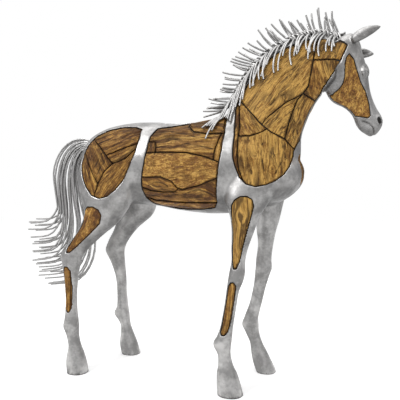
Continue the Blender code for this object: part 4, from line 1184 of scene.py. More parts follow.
@dataclass(frozen=True)
class Split:
    """A split in the wood's face: a line in x and z, its width in hundredths and its depth in metres."""

    points: tuple[Point2, ...]
    width: float = 0.5
    depth: float = 0.0030


# Every piece of wood, without its side.
TIMBERS: dict[str, Timber] = {
    "neck_throat_block": Timber(PLANK, 100.0, 0.66, (57.5, 111.0)),
    "neck_poll_block": Timber(PLANK, 62.0, 0.60, (60.0, 120.0)),
    "neck_crest_plank": Timber(SLAB, 52.0, 0.86, (44.0, 111.0)),
    "neck_middle_wedge": Timber(SLAB, 48.0, 0.88, (45.0, 97.0)),
    "neck_throat_strip": Timber(PLANK, 66.0, 0.76, (49.8, 95.5)),
    "neck_withers_wedge": Timber(SLAB, 118.0, 0.58, (32.5, 95.5)),
    "shoulder_slab": Timber(SLAB, 93.0, 0.80, (38.5, 82.0)),
    "shoulder_edge_strip": Timber(PLANK, 88.0, 0.42, (29.0, 86.0)),
    "barrel_withers_plank": Timber(PLANK, -2.0, 0.40, (19.0, 93.4)),
    "barrel_back_plank": Timber(PLANK, 1.0, 0.46, (8.0, 91.0)),
    "barrel_corner_block": Timber(PLANK, 80.0, 0.40, (-3.2, 88.0)),
    "barrel_girth_strip": Timber(PLANK, 84.0, 0.48, (23.0, 86.5)),
    "barrel_burl": Timber(BURL, 4.0, 0.58, (8.0, 80.0)),
    "barrel_leaf": Timber(PLANK, -14.0, 0.34, (-1.5, 74.2)),
    "barrel_low_plank": Timber(PLANK, -3.0, 0.20, (9.0, 69.5)),
    "barrel_belly_strip": Timber(PLANK, 3.0, 0.22, (8.0, 66.2)),
    "rump_croup_plank": Timber(PLANK, 22.0, 0.32, (-19.0, 91.5)),
    "rump_hip_wedge": Timber(SLAB, 24.0, 0.46, (-14.0, 86.2)),
    "rump_thigh_slab": Timber(SLAB, 50.0, 0.48, (-19.5, 76.5)),
    "rump_striped_block": Timber(RIBBED, 118.0, 0.42, (-26.5, 83.5)),
    "rump_edge_sliver": Timber(RIBBED, 112.0, 0.40, (-30.0, 77.5)),
    "cheek_panel": Timber(BURL, 78.0, 0.60),
    "forearm_panel": Timber(PLANK, 92.0, 0.90),
    "fore_cannon_panel": Timber(PLANK, 83.0, 0.56),
    "gaskin_panel": Timber(BURL, 56.0, 0.36),
    "hind_cannon_panel": Timber(PLANK, 90.0, 0.36),
    "withers_block": Timber(PLANK, 12.0, 0.28),
    "breast_panel": Timber(SLAB, 90.0, 0.50),
}

# Splits in the wood's faces, on both sides of the horse.
SPLITS: tuple[Split, ...] = (
    Split(((40.8, 101.6), (42.4, 103.4), (44.2, 104.6), (46.6, 105), (48.6, 104.4)), 1.1, 0.006),
    Split(((-30, 92.4), (-24, 94), (-17, 94.6), (-10.5, 93.6)), 0.45),
    Split(((-28, 90.2), (-21, 92.2), (-15.5, 92.4), (-10, 91.2)), 0.4),
    Split(((-22, 87.8), (-17, 90.2), (-12, 90.8)), 0.4),
    Split(((-3.2, 93.8), (3, 94.2), (9.5, 92.6), (14, 91.2), (20, 90.4)), 0.5),
    Split(((-2, 88), (5, 87.4), (11, 88.6), (16, 87.6), (21, 86.2)), 0.5),
    Split(((0, 91.4), (6, 90.6), (12, 90.9)), 0.4),
    Split(((-5.5, 69.9), (2, 69.6), (8, 69.9), (13.5, 68.3)), 0.45),
    Split(((10, 70), (13, 71.4), (16, 71.8), (19, 70.6), (21.5, 69.2)), 0.45),
    Split(((-4.6, 73.6), (-1.5, 74.9), (1.8, 74.4), (4, 73.1)), 0.4),
    Split(((-24, 86.8), (-25.8, 83), (-28, 79.6)), 0.45),
    Split(((-22.2, 84.4), (-24.6, 80.2), (-26, 76.8)), 0.4),
    Split(((-31.6, 82.6), (-29.6, 78.2), (-27.6, 73.8)), 0.4),
    Split(((47.2, 98.6), (49, 95), (49.6, 91.2)), 0.4),
    Split(((52.3, 103), (50.8, 98.6), (49.6, 94)), 0.4),
    Split(((45.4, 84.8), (44.8, 80.6), (43.2, 77.2)), 0.5),
    Split(((33.2, 88.2), (33.6, 82), (35.2, 77)), 0.4),
    Split(((38.2, 87.6), (38.4, 82.2), (39.4, 78)), 0.35), Split(((56.2, 113.6), (58, 109.6)), 0.4),
)

# Knots in the wood: x, z and radius, in hundredths.
KNOTS: tuple[Point3, ...] = (
    (31.9, 62.4, 0.95), (16.6, 69.3, 1.6), (-18.5, 93.2, 0.7), (46.4, 104.2, 1), (6, 89.2, 0.8),
    (36, 84, 0.9), (-1, 74.6, 0.8), (-25, 72.8, 0.8), (42, 78.5, 0.7),
)


@dataclass
class Inlay:
    """The fitted driftwood: every piece of it, cut from the same figure as the casting."""

    fineness: Fineness
    rounds: int = 4

    def wanted(self) -> dict[str, Vector]:
        """Every piece's name, with a point near its middle."""
        carry = head_frame()
        found = {"breast_panel": place(51.0, 0.0, 79.0), "withers_block": place(17.0, 0.0, 97.5)}
        reaches = {"neck": 8.0, "shoulder": 8.0, "barrel": 11.5, "rump": 12.5}
        for side in Side:
            found[side.word + "_cheek_panel"] = carry @ Vector((-7.0, side.value * 4.5, -16.0))
            for name, timber in TIMBERS.items():
                if timber.seed:
                    y = side.value * reaches[name.split("_")[0]]
                    found[f"{side.word}_{name}"] = place(timber.seed[0], y, timber.seed[1])
            for name, end, rows, _ in LEG_PANELS:
                outline = leg_outline(rows, LEGS[f"{side.word}_{end}"])
                middle = [sum(p[k] for p in outline) / len(outline) for k in (0, 1)]
                found[f"{side.word}_{name}_panel"] = place(middle[0], side.value * 14.0, middle[1])
        return found

    def blanks(self, figure: Mesh, core: Mesh) -> list[Mesh]:
        """The wood, panel by panel, cut along its cracks but not yet apart.

        Args:
            figure: The horse's whole skin.
            core: What the wood lies on.

        Returns:
            The panels, as objects of several closed shells each.
        """
        panels = Panels()
        torso = Bench.cut(Bench.copied("torso", figure), "INTERSECT", Bench.joined("t", panels.torso()))
        saddle_clear = Panels(CRACK).saddle()
        cuts = [Bench.copied("floor", core), saddle_clear]
        for side in Side:
            clear = offset(CHEEK_PANEL, 2 * GROOVE / SHARE)
            cuts.append(cheek_prism(side.word + "_clear", clear, side.value, 0.0))
            for lines in (NECK_CRACKS, BARREL_CRACKS, RUMP_CRACKS):
                for line in lines:
                    cuts.append(side_prism("crack", ribbon(line, CRACK / SHARE), side.value, 0.4))
        Bench.cut(torso, "DIFFERENCE", Bench.united("cuts", cuts))
        others = []
        for name, tool in (
            ("saddle", panels.saddle()),
            ("limbs", Bench.joined("l", panels.limbs())),
            ("chest", panels.breast()),
        ):
            blank = Bench.cut(Bench.copied(name, figure), "INTERSECT", tool)
            others.append(Bench.cut(blank, "DIFFERENCE", Bench.copied("floor", core)))
        return [torso, *others]

    @staticmethod
    def shells(source: Mesh) -> list[tuple[list[Vector], list[tuple[int, ...]]]]:
        """The closed shells of a mesh, each as its points and faces."""
        mesh = source.data
        owner = list(range(len(mesh.vertices)))

        def root(i: int) -> int:
            """The number that stands for a point's shell."""
            while owner[i] != i:
                owner[i] = owner[owner[i]]
                i = owner[i]
            return i

        for edge in mesh.edges:
            a, b = root(edge.vertices[0]), root(edge.vertices[1])
            if a != b:
                owner[a] = b
        groups: dict[int, list[tuple[int, ...]]] = {}
        for polygon in mesh.polygons:
            groups.setdefault(root(polygon.vertices[0]), []).append(tuple(polygon.vertices))
        found = []
        for faces in groups.values():
            used = sorted({i for face in faces for i in face})
            index = {old: new for new, old in enumerate(used)}
            points = [mesh.vertices[i].co.copy() for i in used]
            found.append((points, [tuple(index[i] for i in face) for face in faces]))
        return found

    def build(self, figure: Mesh, core: Mesh, woods: dict[Figure, Material]) -> list[tuple[Mesh, str]]:
        """Makes every piece of wood.

        Args:
            figure: The horse's whole skin.
            core: What the wood lies on.
            woods: The finish of each figure of wood.

        Returns:
            Each piece with the name of the node that it stands for.
        """
        tree = Bench.tree_of(figure)
        found = []
        for blank in self.blanks(figure, core):
            found += [shell for shell in self.shells(blank) if len(shell[0]) > 40]
            Bench.drop(blank)
        middles = []
        for points, _ in found:
            rows = np.array([tuple(p) for p in points])
            middles.append(Vector((rows.min(0) + rows.max(0)) / 2))
        pairs = sorted(
            ((middle - goal).length, name, number)
            for number, middle in enumerate(middles)
            for name, goal in self.wanted().items()
        )
        taken: dict[str, int] = {}
        for _, name, number in pairs:
            if name not in taken and number not in taken.values():
                taken[name] = number
        made = []
        for order, (node, number) in enumerate(sorted(taken.items())):
            plain = node.removeprefix("right_").removeprefix("left_")
            piece = Bench.add(node + "_wood", *found[number])
            Bench.reskinned(piece, self.fineness.wood_voxel, self.rounds)
            self.weather(piece, node, TIMBERS[plain], tree, order)
            Bench.dressed(Bench.smooth_shaded(piece), woods[TIMBERS[plain].figure])
            made.append((piece, node))
        return made

    def grain_points(self, node: str, timber: Timber, points: np.ndarray, order: int) -> np.ndarray:
        """Each point in the wood's own frame: along the grain, across it in the face, and into the wood.

        Args:
            node: The piece's node.
            timber: How the piece was cut.
            points: The piece's points, in metres.
            order: The piece's number, which keeps its grain unlike its neighbours'.

        Returns:
            The points in the wood's frame, in metres.
        """
        angle = math.radians(timber.angle)
        if node == "withers_block":
            along, across, inward = points[:, 0], points[:, 1], points[:, 2]
        elif node == "breast_panel":
            along, across, inward = points[:, 2], points[:, 1], points[:, 0]
        else:
            along = points[:, 0] * math.cos(angle) + points[:, 2] * math.sin(angle)
            across = points[:, 2] * math.cos(angle) - points[:, 0] * math.sin(angle)
            inward = points[:, 1]
        swirl = np.zeros(len(points))
        for x, z, radius in KNOTS:
            spot = place(x, 0.0, z)
            near = (points[:, 0] - spot.x) ** 2 + (points[:, 2] - spot.z) ** 2
            middle = spot.z * math.cos(angle) - spot.x * math.sin(angle)
            reach = (2.6 * radius * SHARE) ** 2
            swirl -= 0.85 * (across - middle) * np.exp(-near / reach)
        waves = 0.010 * layered_noise(np.stack([along, across, inward], 1) / 0.12 + order * 3.1, 3, 2)
        return np.stack([along, across + swirl + waves, inward + 0.37 * order], 1)

    def weather(self, piece: Mesh, node: str, timber: Timber, tree: BVHTree, order: int) -> None:
        """Gives a piece its weathered relief, and stores what its finish reads.

        Args:
            piece: The piece, changed in place.
            node: Its node.
            timber: How it was cut.
            tree: The search tree of the horse's skin.
            order: The piece's number.
        """
        points, normals = Bench.positions(piece), Bench.normals(piece)
        depths = np.zeros(len(points))
        for i, row in enumerate(points):
            near, normal, _, away = tree.find_nearest(row, 0.05)
            depths[i] = away if near is not None else 0.05
        face = np.clip(1.0 - depths / 0.009, 0.0, 1.0)
        grain = self.grain_points(node, timber, points, order)
        fibre = layered_noise(grain / np.array([0.13, 0.0095, 0.05]), 11 + order, 2)
        broad = layered_noise(grain / np.array([0.20, 0.034, 0.08]), 21 + order, 2)
        pits = layered_noise(grain / np.array([0.030, 0.020, 0.030]), 31 + order, 3)
        length, width = RELIEF_GRAIN[timber.figure]
        lines = layered_noise(grain / np.array([length, width, 0.07]), 41 + order, 2)
        open_here = np.clip(
            0.55 + 1.1 * layered_noise(grain / np.array([0.17, 0.06, 0.1]), 51 + order, 2), 0, 1
        )
        split = np.clip(1.0 - np.abs(lines) / 0.28, 0, 1) ** 1.2 * open_here
        if timber.figure is BURL:
            relief = 0.0024 * pits + 0.0010 * fibre
            split = 0.4 * split + 0.8 * np.clip(-pits - 0.42, 0, 0.4) / 0.4
        elif timber.figure is SLAB:
            relief = 0.0015 * fibre + 0.0022 * broad + 0.0016 * pits
        elif timber.figure is RIBBED:
            relief = 0.0017 * np.sin(grain[:, 1] / 0.0021 + 1.5 * broad) + 0.0006 * fibre
        else:
            relief = 0.0014 * fibre + 0.0030 * broad + 0.0007 * pits
        # dark holds painted shade in the sunk splits, here and along the split lines below, and with some
        # stain along the worn edges; the knots add their own darker colour.
        dark = 0.42 * split
        sunk = 0.0052 * split
        if node != "withers_block" and node != "breast_panel" and "cheek" not in node:
            for split_line in SPLITS:
                away = self.distance_to(points, split_line.points) + 0.0040 * pits + 0.0025 * fibre
                line = np.clip(1.0 - away / (split_line.width * SHARE), 0.0, 1.0)
                line = line * np.clip(0.9 + 0.8 * broad, 0.4, 1)
                sunk = np.maximum(sunk, split_line.depth * line**0.8)
                dark = np.maximum(dark, np.clip(1.3 * line, 0, 1))
            for x, z, radius in KNOTS:
                spot = place(x, 0.0, z)
                away = np.hypot(points[:, 0] - spot.x, points[:, 2] - spot.z) / (radius * SHARE)
                heart = np.exp(-((away / 0.55) ** 2)) + 0.30 * np.exp(-(((away - 1.15) / 0.25) ** 2))
                sunk = np.maximum(sunk, 0.0030 * heart)
                dark = np.maximum(dark, 0.9 * heart * np.clip(0.9 + 0.6 * pits, 0.3, 1))
        edge = np.full(len(points), 1.0)
        for line in self.borders(node):
            edge = np.minimum(edge, self.distance_to(points, line))
        uneven = np.clip(0.55 + 1.5 * layered_noise(points / 0.075, 61, 3), 0.12, 1.0)
        edge += 0.0018 * pits + 0.0010 * fibre
        worn = np.clip(1.0 - edge / (0.0035 + 0.0090 * uneven), 0.0, 1.0)
        # Painted shade, with some stain, in an uneven band along the worn edges at the joints.
        dark = np.maximum(dark, 1.25 * uneven * np.clip(1.0 - edge / (0.0022 + 0.0060 * uneven), 0.0, 1.0))
        lift = np.minimum(relief - sunk - 0.0010, 0.0020) * face - 0.0042 * worn**1.6 * face
        Bench.move_to(piece, points + normals * lift[:, None])
        Bench.write_values(piece, "grain", grain)
        Bench.write_values(piece, "dark", np.clip(dark, 0, 1) * np.clip(face * 2, 0, 1))
        Bench.write_values(piece, "depth", depths)
        Bench.write_values(piece, "tone", np.full(len(points), timber.tone) + 0.22 * broad + 0.05 * pits)
        Bench.thinned(piece, self.fineness.wood_share)

    @staticmethod
    def borders(node: str) -> list[Sequence[Point2]]:
        """The lines seen from the side at which a piece ends, which its edges are worn along.

        Args:
            node: The piece's node.

        Returns:
            The lines, in the x and z of the figure. Pieces that don't face the side have none.
        """
        side, _, plain = node.partition("_")
        region = plain.partition("_")[0]
        groups = {
            "neck": (NECK_PANEL, NECK_CRACKS),
            "shoulder": (NECK_PANEL, NECK_CRACKS),
            "barrel": (BARREL_PANEL, BARREL_CRACKS),
            "rump": (RUMP_PANEL, RUMP_CRACKS),
        }
        if region in groups:
            outline, cracks = groups[region]
            return [(*outline, outline[0]), *cracks]
        for name, end, rows, _ in LEG_PANELS:
            if plain == name + "_panel":
                outline = leg_outline(rows, LEGS[f"{side}_{end}"])
                return [(*outline, outline[0])]
        return []

    @staticmethod
    def distance_to(points: np.ndarray, line: Sequence[Point2]) -> np.ndarray:
        """How far each point is from a line, seen from the side, in metres."""
        nearest = np.full(len(points), 1.0)
        for (x0, z0), (x1, z1) in zip(line, line[1:]):
            a, b = place(x0, 0.0, z0), place(x1, 0.0, z1)
            run = np.array([b.x - a.x, b.z - a.z])
            gap = points[:, (0, 2)] - np.array([a.x, a.z])
            share = np.clip(gap @ run / (run @ run), 0.0, 1.0)
            nearest = np.minimum(nearest, np.linalg.norm(gap - share[:, None] * run, axis=1))
        return nearest


class Rods:
    """Round rods made by Geometry Nodes along guide lines."""

    @staticmethod
    def tree() -> bpy.types.NodeTree:
        """The node tree: guide lines in, rods out, with named inputs for their sizes.

        Returns:
            The tree.
        """
        tree = bpy.data.node_groups.new("bent_rods", "GeometryNodeTree")
        face = tree.interface
        face.new_socket("Guides", in_out="INPUT", socket_type="NodeSocketGeometry")
        for name, kind, value in (
            ("Rod Diameter", "NodeSocketFloat", ROD_DIAMETER),
            ("Steps Along", "NodeSocketInt", 22),
            ("Sides", "NodeSocketInt", 10),
            ("Tip Share", "NodeSocketFloat", 0.86),
            ("Hammering", "NodeSocketFloat", 0.0004),
        ):
            socket = face.new_socket(name, in_out="INPUT", socket_type=kind)
            socket.default_value = value
        face.new_socket("Finish", in_out="INPUT", socket_type="NodeSocketMaterial")
        face.new_socket("Rods", in_out="OUTPUT", socket_type="NodeSocketGeometry")
        w = Wiring(tree)
        given, sink = w.add("NodeGroupInput").outputs, w.add("NodeGroupOutput")
        curve = w.add("GeometryNodeMeshToCurve", {"Mesh": given["Guides"]}).outputs["Curve"]
        spline = w.add(
            "GeometryNodeCurveSplineType", {"Curve": curve}, spline_type="CATMULL_ROM"
        ).outputs["Curve"]
        path = w.add(
            "GeometryNodeResampleCurve", {"Curve": spline, "Count": given["Steps Along"]}
        ).outputs["Curve"]
        sizes = {"Radius": w.math("MULTIPLY", given["Rod Diameter"], 0.5), "Resolution": given["Sides"]}
        circle = w.add("GeometryNodeCurvePrimitiveCircle", sizes).outputs["Curve"]
        along = w.add("GeometryNodeSplineParameter").outputs["Factor"]
        taper = {"Value": along, "From Min": 0.82, "To Min": 1.0, "To Max": given["Tip Share"]}
        scale = w.add("ShaderNodeMapRange", taper).outputs["Result"]
        sweep = {"Curve": path, "Profile Curve": circle, "Scale": scale, "Fill Caps": True}
        rods = w.add("GeometryNodeCurveToMesh", sweep).outputs["Mesh"]
        dents = w.add("ShaderNodeTexNoise", {"Scale": 60.0, "Detail": 1.0}).outputs["Color"]
        dents = w.add("ShaderNodeVectorMath", {0: dents, 1: (0.5, 0.5, 0.5)}, operation="SUBTRACT").outputs[0]
        push = w.add(
            "ShaderNodeVectorMath", {0: dents, "Scale": given["Hammering"]}, operation="SCALE"
        ).outputs[0]
        rods = w.add("GeometryNodeSetPosition", {"Geometry": rods, "Offset": push}).outputs[0]
        rods = w.add("GeometryNodeRealizeInstances", {"Geometry": rods}).outputs[0]
        rods = w.add("GeometryNodeSetMaterial", {"Geometry": rods, "Material": given["Finish"]}).outputs[0]
        w.feed(sink, {"Rods": rods})
        return tree

    @staticmethod
    def build(
        name: str, guides: Sequence[Sequence[Vector]], tree: bpy.types.NodeTree, finish: Material
    ) -> Mesh:
        """Bends a rod along each guide line.

        Args:
            name: The object's name.
            guides: The guide lines, in metres.
            tree: The rods' node tree.
            finish: The rods' material.

        Returns:
            All the rods as one plain mesh.
        """
        vertices: list[Vector] = []
        edges: list[tuple[int, int]] = []
        for guide in guides:
            first = len(vertices)
            vertices += list(guide)
            edges += [(first + k, first + k + 1) for k in range(len(guide) - 1)]
        mesh = bpy.data.meshes.new(name)
        mesh.from_pydata([tuple(v) for v in vertices], edges, [])
        rods = Bench.linked(name, mesh)
        change = rods.modifiers.new("bent_rods", "NODES")
        change.node_group = tree
        for item in tree.interface.items_tree:
            if item.in_out == "INPUT" and item.name == "Finish":
                change[item.identifier] = finish
        Bench.bake(rods)
        return Bench.smooth_shaded(rods)


def crest_point(tree: BVHTree, line: Sequence[Vector], share: float) -> tuple[Vector, Vector, Vector]:
    """Where the mane is rooted.

    Args:
        tree: The search tree of the horse's skin.
        line: The crest's line, from the withers to the poll.
        share: How far along it, from 0 to 1.

    Returns:
        The point on the skin, the direction towards the poll, and the direction out of the crest.
    """
    spot = share * (len(line) - 1)
    i = min(int(spot), len(line) - 2)
    here = line[i].lerp(line[i + 1], spot - i)
    run = (line[i + 1] - line[i]).normalized()
    out = Vector((-run.z, 0.0, run.x)).normalized()
    found = tree.ray_cast(here + out * 0.15, -out, 0.4)[0]
    return (found if found is not None else here), run, out


def bent(
    root: Vector, start: float, end: float, length: float, drift: Sequence[float], bend: float = 1.0
) -> list[Vector]:
    """A rod's guide in a side plane, whose angle turns from start to end.

    Args:
        root: Its first point, in metres.
        start: Its angle from +X at the root, in degrees.
        end: Its angle at the tip.
        length: Its length, in hundredths.
        drift: The sideways share of each step.
        bend: Above 1, most of the turn comes late.

    Returns:
        The guide's points.
    """
    steps = len(drift)
    found = [root.copy()]
    for i in range(steps):
        share = ((i + 0.5) / steps) ** bend
        angle = math.radians(start + (end - start) * share)
        step = Vector((math.cos(angle), drift[i], math.sin(angle)))
        found.append(found[-1] + step * (length / steps * SHARE))
    return found


def cleared(path: Sequence[Vector], tree: BVHTree, gap: float, keep: int = 1) -> list[Vector]:
    """Moves a path's points out of a surface until each is a gap clear of it, but for the first few."""
    moved = list(path[:keep])
    for here in path[keep:]:
        near, normal, _, away = tree.find_nearest(here)
        if (here - near).dot(normal) < 0 or away < gap:
            here = near + normal * gap
        moved.append(here)
    return moved


@dataclass
class Mane:
    """The mane: a plait of rods along the crest, some standing up from it and some hanging down its sides."""

    rows: int = 44
    standing: Point2 = (10.8, 8.4)
    hanging: Point2 = (18.0, 9.5)
    seed: int = 4

    def guides(self, tree: BVHTree) -> list[list[Vector]]:
        """The guide line of every rod.

        Args:
            tree: The search tree of the horse's skin.

        Returns:
            The guide lines, in metres.
        """
        chance = np.random.default_rng(self.seed)
        line = [place(x, y, z) for x, z, y in smoothed(CREST_LINE, 8)]
        found = []
        low, high = self.standing
        for i in range(self.rows):
            share = i / (self.rows - 1)
            root, run, out = crest_point(tree, line, share)
            back = math.degrees(math.atan2(-run.z, -run.x)) % 360.0
            normal = math.degrees(math.atan2(out.z, out.x))
            for side in (-1.0, 1.0):
                wobble = chance.uniform(-1.0, 1.0, 5)
                if side < 0 or i % 3 == 0:
                    length = low + (high - low) * share + 2.2 * wobble[0]
                    shift = Vector((0.0, side * 2.1 * SHARE, 0.0)) + run * (1.0 * wobble[1] * SHARE)
                    lean = 178.0 - 80.0 * min(1.0, 1.15 * share) + 15.0 * wobble[2]
                    cross = [side * v for v in (-0.45, -0.2, 0.05 + 0.2 * wobble[3], 0.12, 0.12, 0.1)]
                    start = 0.5 * (back + normal) + 9.0 * wobble[4]
                    path = bent(root - out * (1.9 * SHARE) + shift, start, lean, length + 0.7, cross, 0.7)
                    found.append(cleared(path, tree, 0.018, 1))
                if side > 0 and i % 3 == 2:
                    continue
                length = self.hanging[0] + (self.hanging[1] - self.hanging[0]) * share**1.4 + 3.0 * wobble[3]
                shift = Vector((0.0, -side * 0.7 * SHARE, 0.0)) + run * (0.9 * wobble[1] * SHARE)
                end = 272.0 - 36.0 * max(0.0, 1.0 - 2.4 * share) + 13.0 * wobble[4]
                outward = (1.0, 0.75, 0.42, 0.25, 0.18, 0.12, 0.08, 0.05)
                path = bent(
                    root + out * (0.9 * SHARE) + shift, back + 8.0, end, length,
                    [side * v for v in outward], 0.42
                )
                found.append(cleared(path, tree, 0.010, 2))
        return found


@dataclass
class Tail:
    """The tail: rods that leave the rump in a bundle, arch down, and flick back in sprays of tips."""

    rods: int = 34
    spread: float = 3.6
    seed: int = 9
    outer: tuple[Point2, ...] = (
        (-35.6, 92.4), (-40.4, 94.9), (-47.5, 94), (-53, 89), (-55.6, 81), (-54.6, 71), (-54.2, 65.6),
        (-59.4, 60.6), (-69, 59.6),
    )
    middle: tuple[Point2, ...] = (
        (-35.6, 91), (-40, 92.6), (-45.6, 90.6), (-49.8, 84), (-51, 74), (-50, 62), (-51.6, 52),
        (-56.6, 45.6), (-67.6, 43.8),
    )
    inner: tuple[Point2, ...] = (
        (-35.4, 89.4), (-39.4, 90.4), (-43.2, 87.2), (-44.4, 78), (-41.2, 66), (-37.6, 54), (-38.6, 42),
        (-46, 32.6), (-60.6, 29.4),
    )

    def guides(self) -> list[list[Vector]]:
        """The guide line of every rod.

        Returns:
            The guide lines, in metres.
        """
        chance = np.random.default_rng(self.seed)
        found = []
        for i in range(self.rods):
            lane = i / (self.rods - 1)
            wobble = chance.uniform(-1.0, 1.0, 5)
            spread = self.spread * (1.0 if i % 2 else -1.0) * (0.25 + 0.75 * chance.random())
            path = []
            for k, (a, b, c) in enumerate(zip(self.outer, self.middle, self.inner)):
                low, high, share = (a, b, lane * 2) if lane < 0.5 else (b, c, lane * 2 - 1)
                late = max(0.0, (k - 4) / 4.0)
                x = low[0] + (high[0] - low[0]) * share + 1.2 * wobble[0] * late
                z = low[1] + (high[1] - low[1]) * share + 2.2 * wobble[1] * late
                widen = min(1.0, 0.35 + 0.16 * k)
                path.append(place(x, spread * widen + 0.8 * wobble[2] * late, z))
            found.append(path)
        return found


class Wiring:
    """Adds nodes to one node tree and joins them up."""

    def __init__(self, tree: bpy.types.NodeTree) -> None:
        """Starts on the tree that the nodes go into."""
        self.tree = tree
        self.count = 0

    def add(self, kind: str, inputs: dict | None = None, **settings: object) -> Node:
        """Adds a node.

        Args:
            kind: The node's type.
            inputs: For each input, by name or number, a value or the socket that feeds it.
            settings: The node's own options.

        Returns:
            The node.
        """
        made = self.tree.nodes.new(kind)
        made.location = (220 * (self.count % 9), -240 * (self.count // 9))
        self.count += 1
        for option, value in settings.items():
            setattr(made, option, value)
        return self.feed(made, inputs or {})

    def feed(self, node: Node, inputs: dict) -> Node:
        """Sets a node's inputs, each to a value or from the socket that feeds it."""
        for key, value in inputs.items():
            if isinstance(value, Socket):
                self.tree.links.new(value, node.inputs[key])
            else:
                node.inputs[key].default_value = value
        return node

    def math(self, operation: str, *values: object, clamp: bool = False) -> Socket:
        """A Math node's result."""
        made = self.add("ShaderNodeMath", dict(enumerate(values)), operation=operation, use_clamp=clamp)
        return made.outputs[0]

    def ranged(self, value: Socket, low: float, high: float, to_low: float, to_high: float) -> Socket:
        """A value carried smoothly from one range to another."""
        sockets = {"Value": value, "From Min": low, "From Max": high, "To Min": to_low, "To Max": to_high}
        return self.add("ShaderNodeMapRange", sockets, interpolation_type="SMOOTHSTEP").outputs["Result"]

    def mixed(self, share: object, low: object, high: object, blend: str = "MIX") -> Socket:
        """Two colours mixed by a share."""
        sockets = {0: share, 6: low, 7: high}
        return self.add("ShaderNodeMix", sockets, data_type="RGBA", blend_type=blend).outputs[2]

    def swing(self, value: Socket, gain: object) -> Socket:
        """How far a value is from one half, times a gain."""
        return self.math("MULTIPLY", self.math("SUBTRACT", value, 0.5), gain)

    def stretched(self, vector: Socket, scale: Point3, place_at: Point3 = (0, 0, 0)) -> Socket:
        """A vector scaled along its axes and moved."""
        return self.add(
            "ShaderNodeMapping", {"Vector": vector, "Scale": scale, "Location": place_at}
        ).outputs[0]

    def noise(
        self, vector: Socket, detail: float, rough: float = 0.55, warp: float = 0.0, scale: object = 1.0
    ) -> Socket:
        """A noise value at a vector."""
        sockets = {"Vector": vector, "Scale": scale, "Detail": detail, "Roughness": rough, "Distortion": warp}
        return self.add("ShaderNodeTexNoise", sockets).outputs[0]


